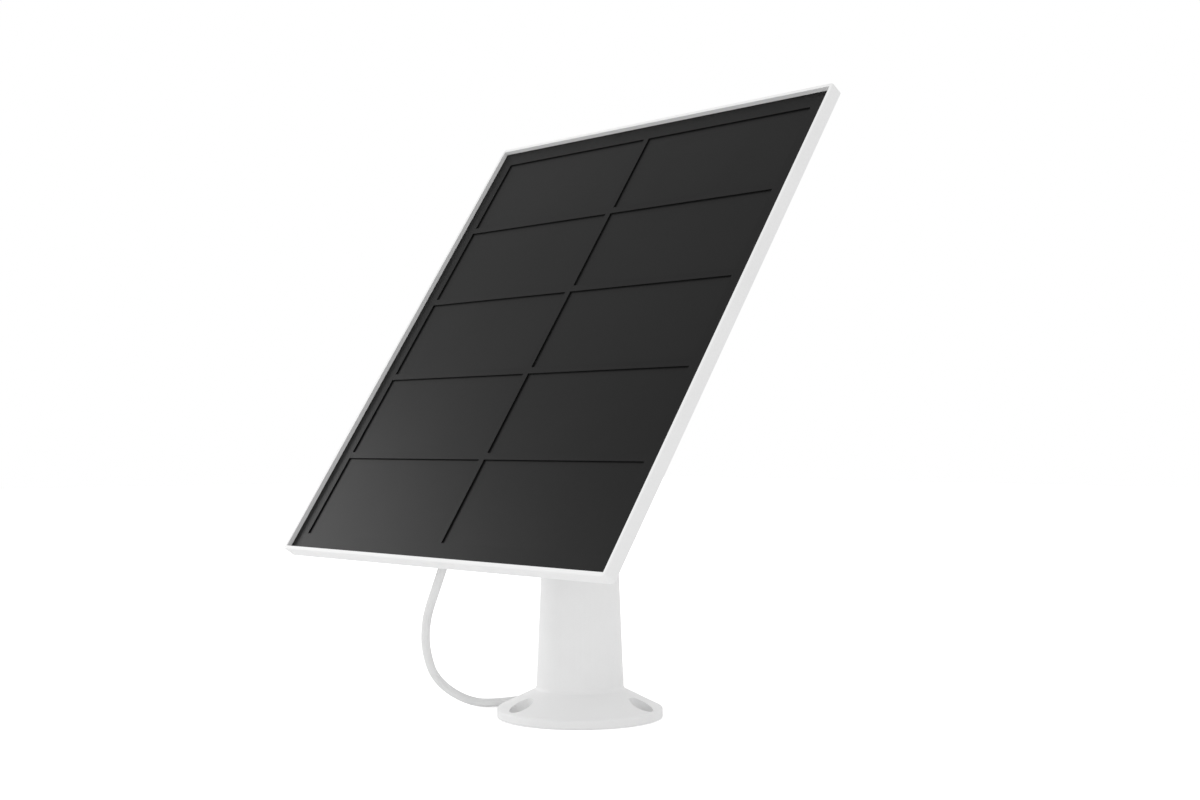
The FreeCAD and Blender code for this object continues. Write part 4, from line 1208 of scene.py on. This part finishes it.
@dataclass
class Hinge(Assembly):
    """The hinge bolt with its chamfered hexagon head, and the fluted clamp knob."""

    head_start: float = -0.01105
    head_end: float = -0.00755
    head_flats: float = 0.008
    head_chamfer: float = 0.00075
    dish_radii: tuple[float, float] = (0.0026, 0.0024)
    dish_depth: float = 0.00025
    shank_radius: float = 0.0025
    shank_end: float = 0.018
    shank_chamfer: float = 0.0005
    bolt_edge: float = 0.00008
    knob_start: float = 0.0104
    hub_end: float = 0.0119
    knob_end: float = 0.0214
    hub_radius: float = 0.0052
    knob_radius: float = 0.0062
    insert_radius: float = 0.00373
    insert_end: float = 0.0184
    flutes: int = 12
    flute_radius: float = 0.0010
    flute_centre: float = 0.0066
    flute_steps: int = 14
    round_steps: int = 5
    cap_rim: float = 0.0042
    cap_depth: float = 0.0003

    def make_bolt(self) -> bpy.types.Object:
        """The bolt: a hexagon whose corners are turned away, a washer face and the shank."""
        flat = self.head_flats / 2
        corner = flat / math.cos(math.pi / 6)
        start, end = self.head_start, self.head_end
        little, past = 0.0001, 0.0002
        head = turned("hinge_pin", [(corner, start), (corner, end)], 6)
        hull = [
            (flat - little, start),
            (corner + past, start + self.head_chamfer),
            (corner + past, end + little),
        ]
        cut_with(head, turned("turning", hull, 72), "INTERSECT")
        chamfer = self.shank_chamfer
        body = [
            (self.shank_radius, end - chamfer),
            (self.shank_radius, self.shank_end - chamfer),
            (self.shank_radius - chamfer, self.shank_end),
        ]
        cut_with(head, turned("shank", body, 48), "UNION")
        wide, narrow = self.dish_radii
        dish = [(wide, start - past), (narrow, start + self.dish_depth)]
        cut_with(head, turned("dish", dish, 48))
        bevel(head, self.bolt_edge, 2, 25.0)
        smooth(head)
        return head

    def fluted(self, angle: float) -> float:
        """The knob's radius at an angle, between and in its flutes.

        Args:
            angle: The angle about the knob's axis, in radians.

        Returns:
            The radius in metres.
        """
        pitch = math.tau / self.flutes
        away = (angle + pitch / 2) % pitch - pitch / 2
        across = self.flute_centre * math.sin(away)
        if abs(across) >= self.flute_radius:
            return self.knob_radius
        depth = math.sqrt(self.flute_radius**2 - across**2)
        return min(self.knob_radius, self.flute_centre * math.cos(away) - depth)

    def barrel_outline(self) -> list[tuple[float, float]]:
        """Half of the knob's section as (radius, height), from the bore's end to the cap."""
        foot, crown, ease = 0.0005, 0.0011, 0.0003
        outline = [
            (0.0, self.insert_end),
            (self.insert_radius, self.insert_end),
            (self.insert_radius, self.knob_start),
            (self.hub_radius - ease, self.knob_start),
            (self.hub_radius, self.knob_start + ease),
            (self.hub_radius, self.hub_end),
        ]
        rounds = ((foot, self.hub_end + foot, -90.0), (crown, self.knob_end - crown, 0.0))
        for radius, level, first in rounds:
            for step in range(self.round_steps + 1):
                angle = math.radians(first + 90.0 * step / self.round_steps)
                out = self.knob_radius - radius + radius * math.cos(angle)
                outline.append((out, level + radius * math.sin(angle)))
        rim, dish = self.cap_rim, self.cap_rim - ease
        floor = self.knob_end - self.cap_depth
        return outline + [(rim, self.knob_end), (dish, floor), (0.0, floor)]

    def make_knob(self) -> bpy.types.Object:
        """The knob: a fluted barrel on a plain hub, with a dished cap and a bore for its insert."""
        knob = lathe("clamp_knob", self.barrel_outline(), self.flutes * self.flute_steps)
        edit(knob, "VERT")
        shape = bmesh.from_edit_mesh(knob.data)
        near, rim_gap = 1e-6, 1e-4
        inner = self.hub_radius + near
        for vertex in shape.verts:
            radius = math.hypot(vertex.co.x, vertex.co.y)
            if vertex.co.z <= self.hub_end - near or radius < inner:
                continue
            around = math.atan2(vertex.co.y, vertex.co.x)
            inset = self.knob_radius - self.fluted(around)
            scale = max(self.cap_rim + rim_gap, radius - inset) / radius
            vertex.co.x *= scale
            vertex.co.y *= scale
        bmesh.update_edit_mesh(knob.data)
        leave()
        smooth(knob, 40.0)
        return knob

    def build(self) -> None:
        """Builds the bolt and the knob."""
        bolt = settle(self.make_bolt(), PLACES.hinge())
        knob = settle(self.make_knob(), PLACES.hinge())
        self.hand_over(bolt, "stainless", "panel", ("hinge_bolt",))
        self.hand_over(knob, "grey_knob", "knob", ("tilt_knob",))


class Drive(Enum):
    """The recess in a screw's head."""

    CROSS = "cross"
    SOCKET = "socket"


@dataclass(frozen=True)
class Screw:
    """One kind of screw, in the panel's frame: its places, its sizes and its recess."""

    node: str
    places: tuple[tuple[float, float], ...]
    head_radius: float
    head_low: float
    seat: float
    shank_radius: float
    tip: float
    drive: Drive
    dome: float


def corners(half_x: float, low_y: float, high_y: float) -> tuple[tuple[float, float], ...]:
    """The four places at plus and minus a half width and at two heights."""
    return tuple((half_x * side, y) for side in (-1.0, 1.0) for y in (low_y, high_y))


@dataclass
class Fixings(Assembly):
    """The screws on the panel's back, each with its driver's recess."""

    kinds: tuple[Screw, ...] = (
        Screw(
            "housing_screws", corners(0.027, -0.027, 0.015), 0.0021, 0.0090, 0.0100, 0.0011,
            0.0148, Drive.CROSS, 0.00012,
        ),
        Screw(
            "bracket_screws", corners(0.0145, -0.0105, 0.0105), 0.0028, 0.0050, 0.0068, 0.0015,
            0.0146, Drive.SOCKET, 0.0,
        ),
    )
    first_turn: float = 23.0
    next_turn: float = 31.0

    def make(self, kind: Screw) -> bpy.types.Object:
        """One screw about the panel frame's origin, head towards the back.

        Args:
            kind: The screw's sizes.

        Returns:
            The screw, in the panel's frame.
        """
        edge, point, blunt = 0.00035, 0.0006, 0.0002
        radius, low = kind.head_radius, kind.head_low
        outline = [
            (0.0, low - kind.dome),
            (radius * 0.6, low - kind.dome * 0.7),
            (radius - edge, low),
            (radius - edge * 0.3, low + edge * 0.3),
            (radius, low + edge),
            (radius, kind.seat),
            (kind.shank_radius, kind.seat),
            (kind.shank_radius, kind.tip - point),
            (blunt, kind.tip),
            (0.0, kind.tip),
        ]
        screw = lathe(kind.node + "_model", outline, 40)
        if kind.drive is Drive.CROSS:
            depth, wide, long = 0.0014, 0.0005, radius * 1.25
            recess = block("recess", (long, wide, depth), (0, 0, low))
            second = block("recess_two", (wide, long, depth), (0, 0, low))
            cut_with(recess, second, "UNION")
        else:
            corner, above, floor, centre = 0.00115, 0.001, 0.0011, 0.0014
            socket = [
                (0.0, low - above), (corner, low - above), (corner, low + floor),
                (0.0, low + centre),
            ]
            recess = lathe("recess", socket, 6)
        cut_with(screw, recess)
        smooth(screw)
        return screw

    def build(self) -> None:
        """Models each kind once and copies it to its places."""
        for kind in self.kinds:
            model = self.make(kind)
            for number, (x, y) in enumerate(kind.places, start=1):
                angle = math.radians(self.first_turn + self.next_turn * number)
                turn = Matrix.Rotation(angle, 4, "Z")
                carry = PLACES.panel() @ Matrix.Translation((x, y, 0.0)) @ turn
                screw = copy_piece(model, f"{kind.node}_{number}", carry)
                self.hand_over(screw, "stainless", "panel", (kind.node,))
            bpy.data.objects.remove(model)


@dataclass
class Gland(Assembly):
    """The moulded gland where the lead leaves the housing: a collar and a grooved taper."""

    place: tuple[float, float, float] = (-0.01, -0.0304, 0.01225)
    wall: float = 0.0016
    bore: float = 0.00163
    neck_radius: float = 0.0021
    collar_radius: float = 0.00255
    collar_end: float = 0.0032
    tip_radius: float = 0.0020
    tip: float = 0.0196
    edge: float = 0.00015
    tip_edge: float = 0.0003
    grooves: int = 6
    groove_depth: float = 0.0003
    groove_start: float = 0.0018
    groove_room: float = 0.003
    groove_halves: tuple[float, float] = (0.0005, 0.00025)
    groove_round: float = 0.00008

    def taper(self, along: float) -> float:
        """The taper's radius at a distance from the housing's inner wall."""
        share = (along - self.collar_end) / (self.tip - self.collar_end)
        return self.collar_radius + (self.tip_radius - self.collar_radius) * share

    def build(self) -> None:
        """Turns the gland and hands it over."""
        edge = self.edge
        outline = [
            (self.bore, 0.0),
            (self.neck_radius, 0.0),
            (self.neck_radius, self.wall),
            (self.collar_radius - edge, self.wall),
            (self.collar_radius, self.wall + edge),
            (self.collar_radius, self.collar_end - self.tip_edge),
            (self.collar_radius - edge, self.collar_end),
        ]
        spacing = (self.tip - self.collar_end - self.groove_room) / self.grooves
        top, floor = self.groove_halves
        for groove in range(self.grooves):
            middle = self.collar_end + self.groove_start + groove * spacing
            radius = self.taper(middle) - self.groove_depth
            outline += [
                (self.taper(middle - top), middle - top),
                (radius, middle - floor),
                (radius, middle + floor),
                (self.taper(middle + top), middle + top),
            ]
        outline += [
            (self.taper(self.tip - self.tip_edge), self.tip - self.tip_edge),
            (self.tip_radius - edge, self.tip),
            (self.bore, self.tip),
        ]
        gland = lathe("lead_gland", outline, 48, closed=True)
        bevel(gland, self.groove_round, 2, 30.0)
        smooth(gland, 45.0)
        out = Matrix.Rotation(QUARTER_TURN, 4, "X")
        settle(gland, PLACES.panel() @ Matrix.Translation(self.place) @ out)
        self.hand_over(gland, "white_tpe", "panel", ("cable_gland",))


# ---- carried-over nodes --------------------------------------------------------------------------


@dataclass
class CarriedNodes(Assembly):
    """The part's own nodes whose shape is right, which only need their finish."""

    def build(self, nodes: dict[str, bpy.types.Object], record: dict) -> None:
        """Dresses every node in the finish of its slot.

        Args:
            nodes: The part's nodes by name.
            record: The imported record, which says each node's slot.
        """
        slots = {entry["node"]: entry["material_slot"] for entry in record["subparts"]}
        for name, node in nodes.items():
            self.painter.dress(node, SLOT_FINISH[slots[name]])
        LOG.info("%d nodes dressed", len(nodes))


def main() -> None:
    """Builds the studio and every sub-assembly in order."""
    logging.basicConfig(level=logging.INFO, format="%(name)s: %(message)s", force=True)
    painter = Painter()
    Studio().build()
    Lead(painter).build()
    Mouldings(painter).build()
    Hinge(painter).build()
    Fixings(painter).build()
    Gland(painter).build()
    CarriedNodes(painter).build(frame["nodes"], frame["record"])
    bpy.context.view_layer.update()


if __name__ == "__main__":
    main()
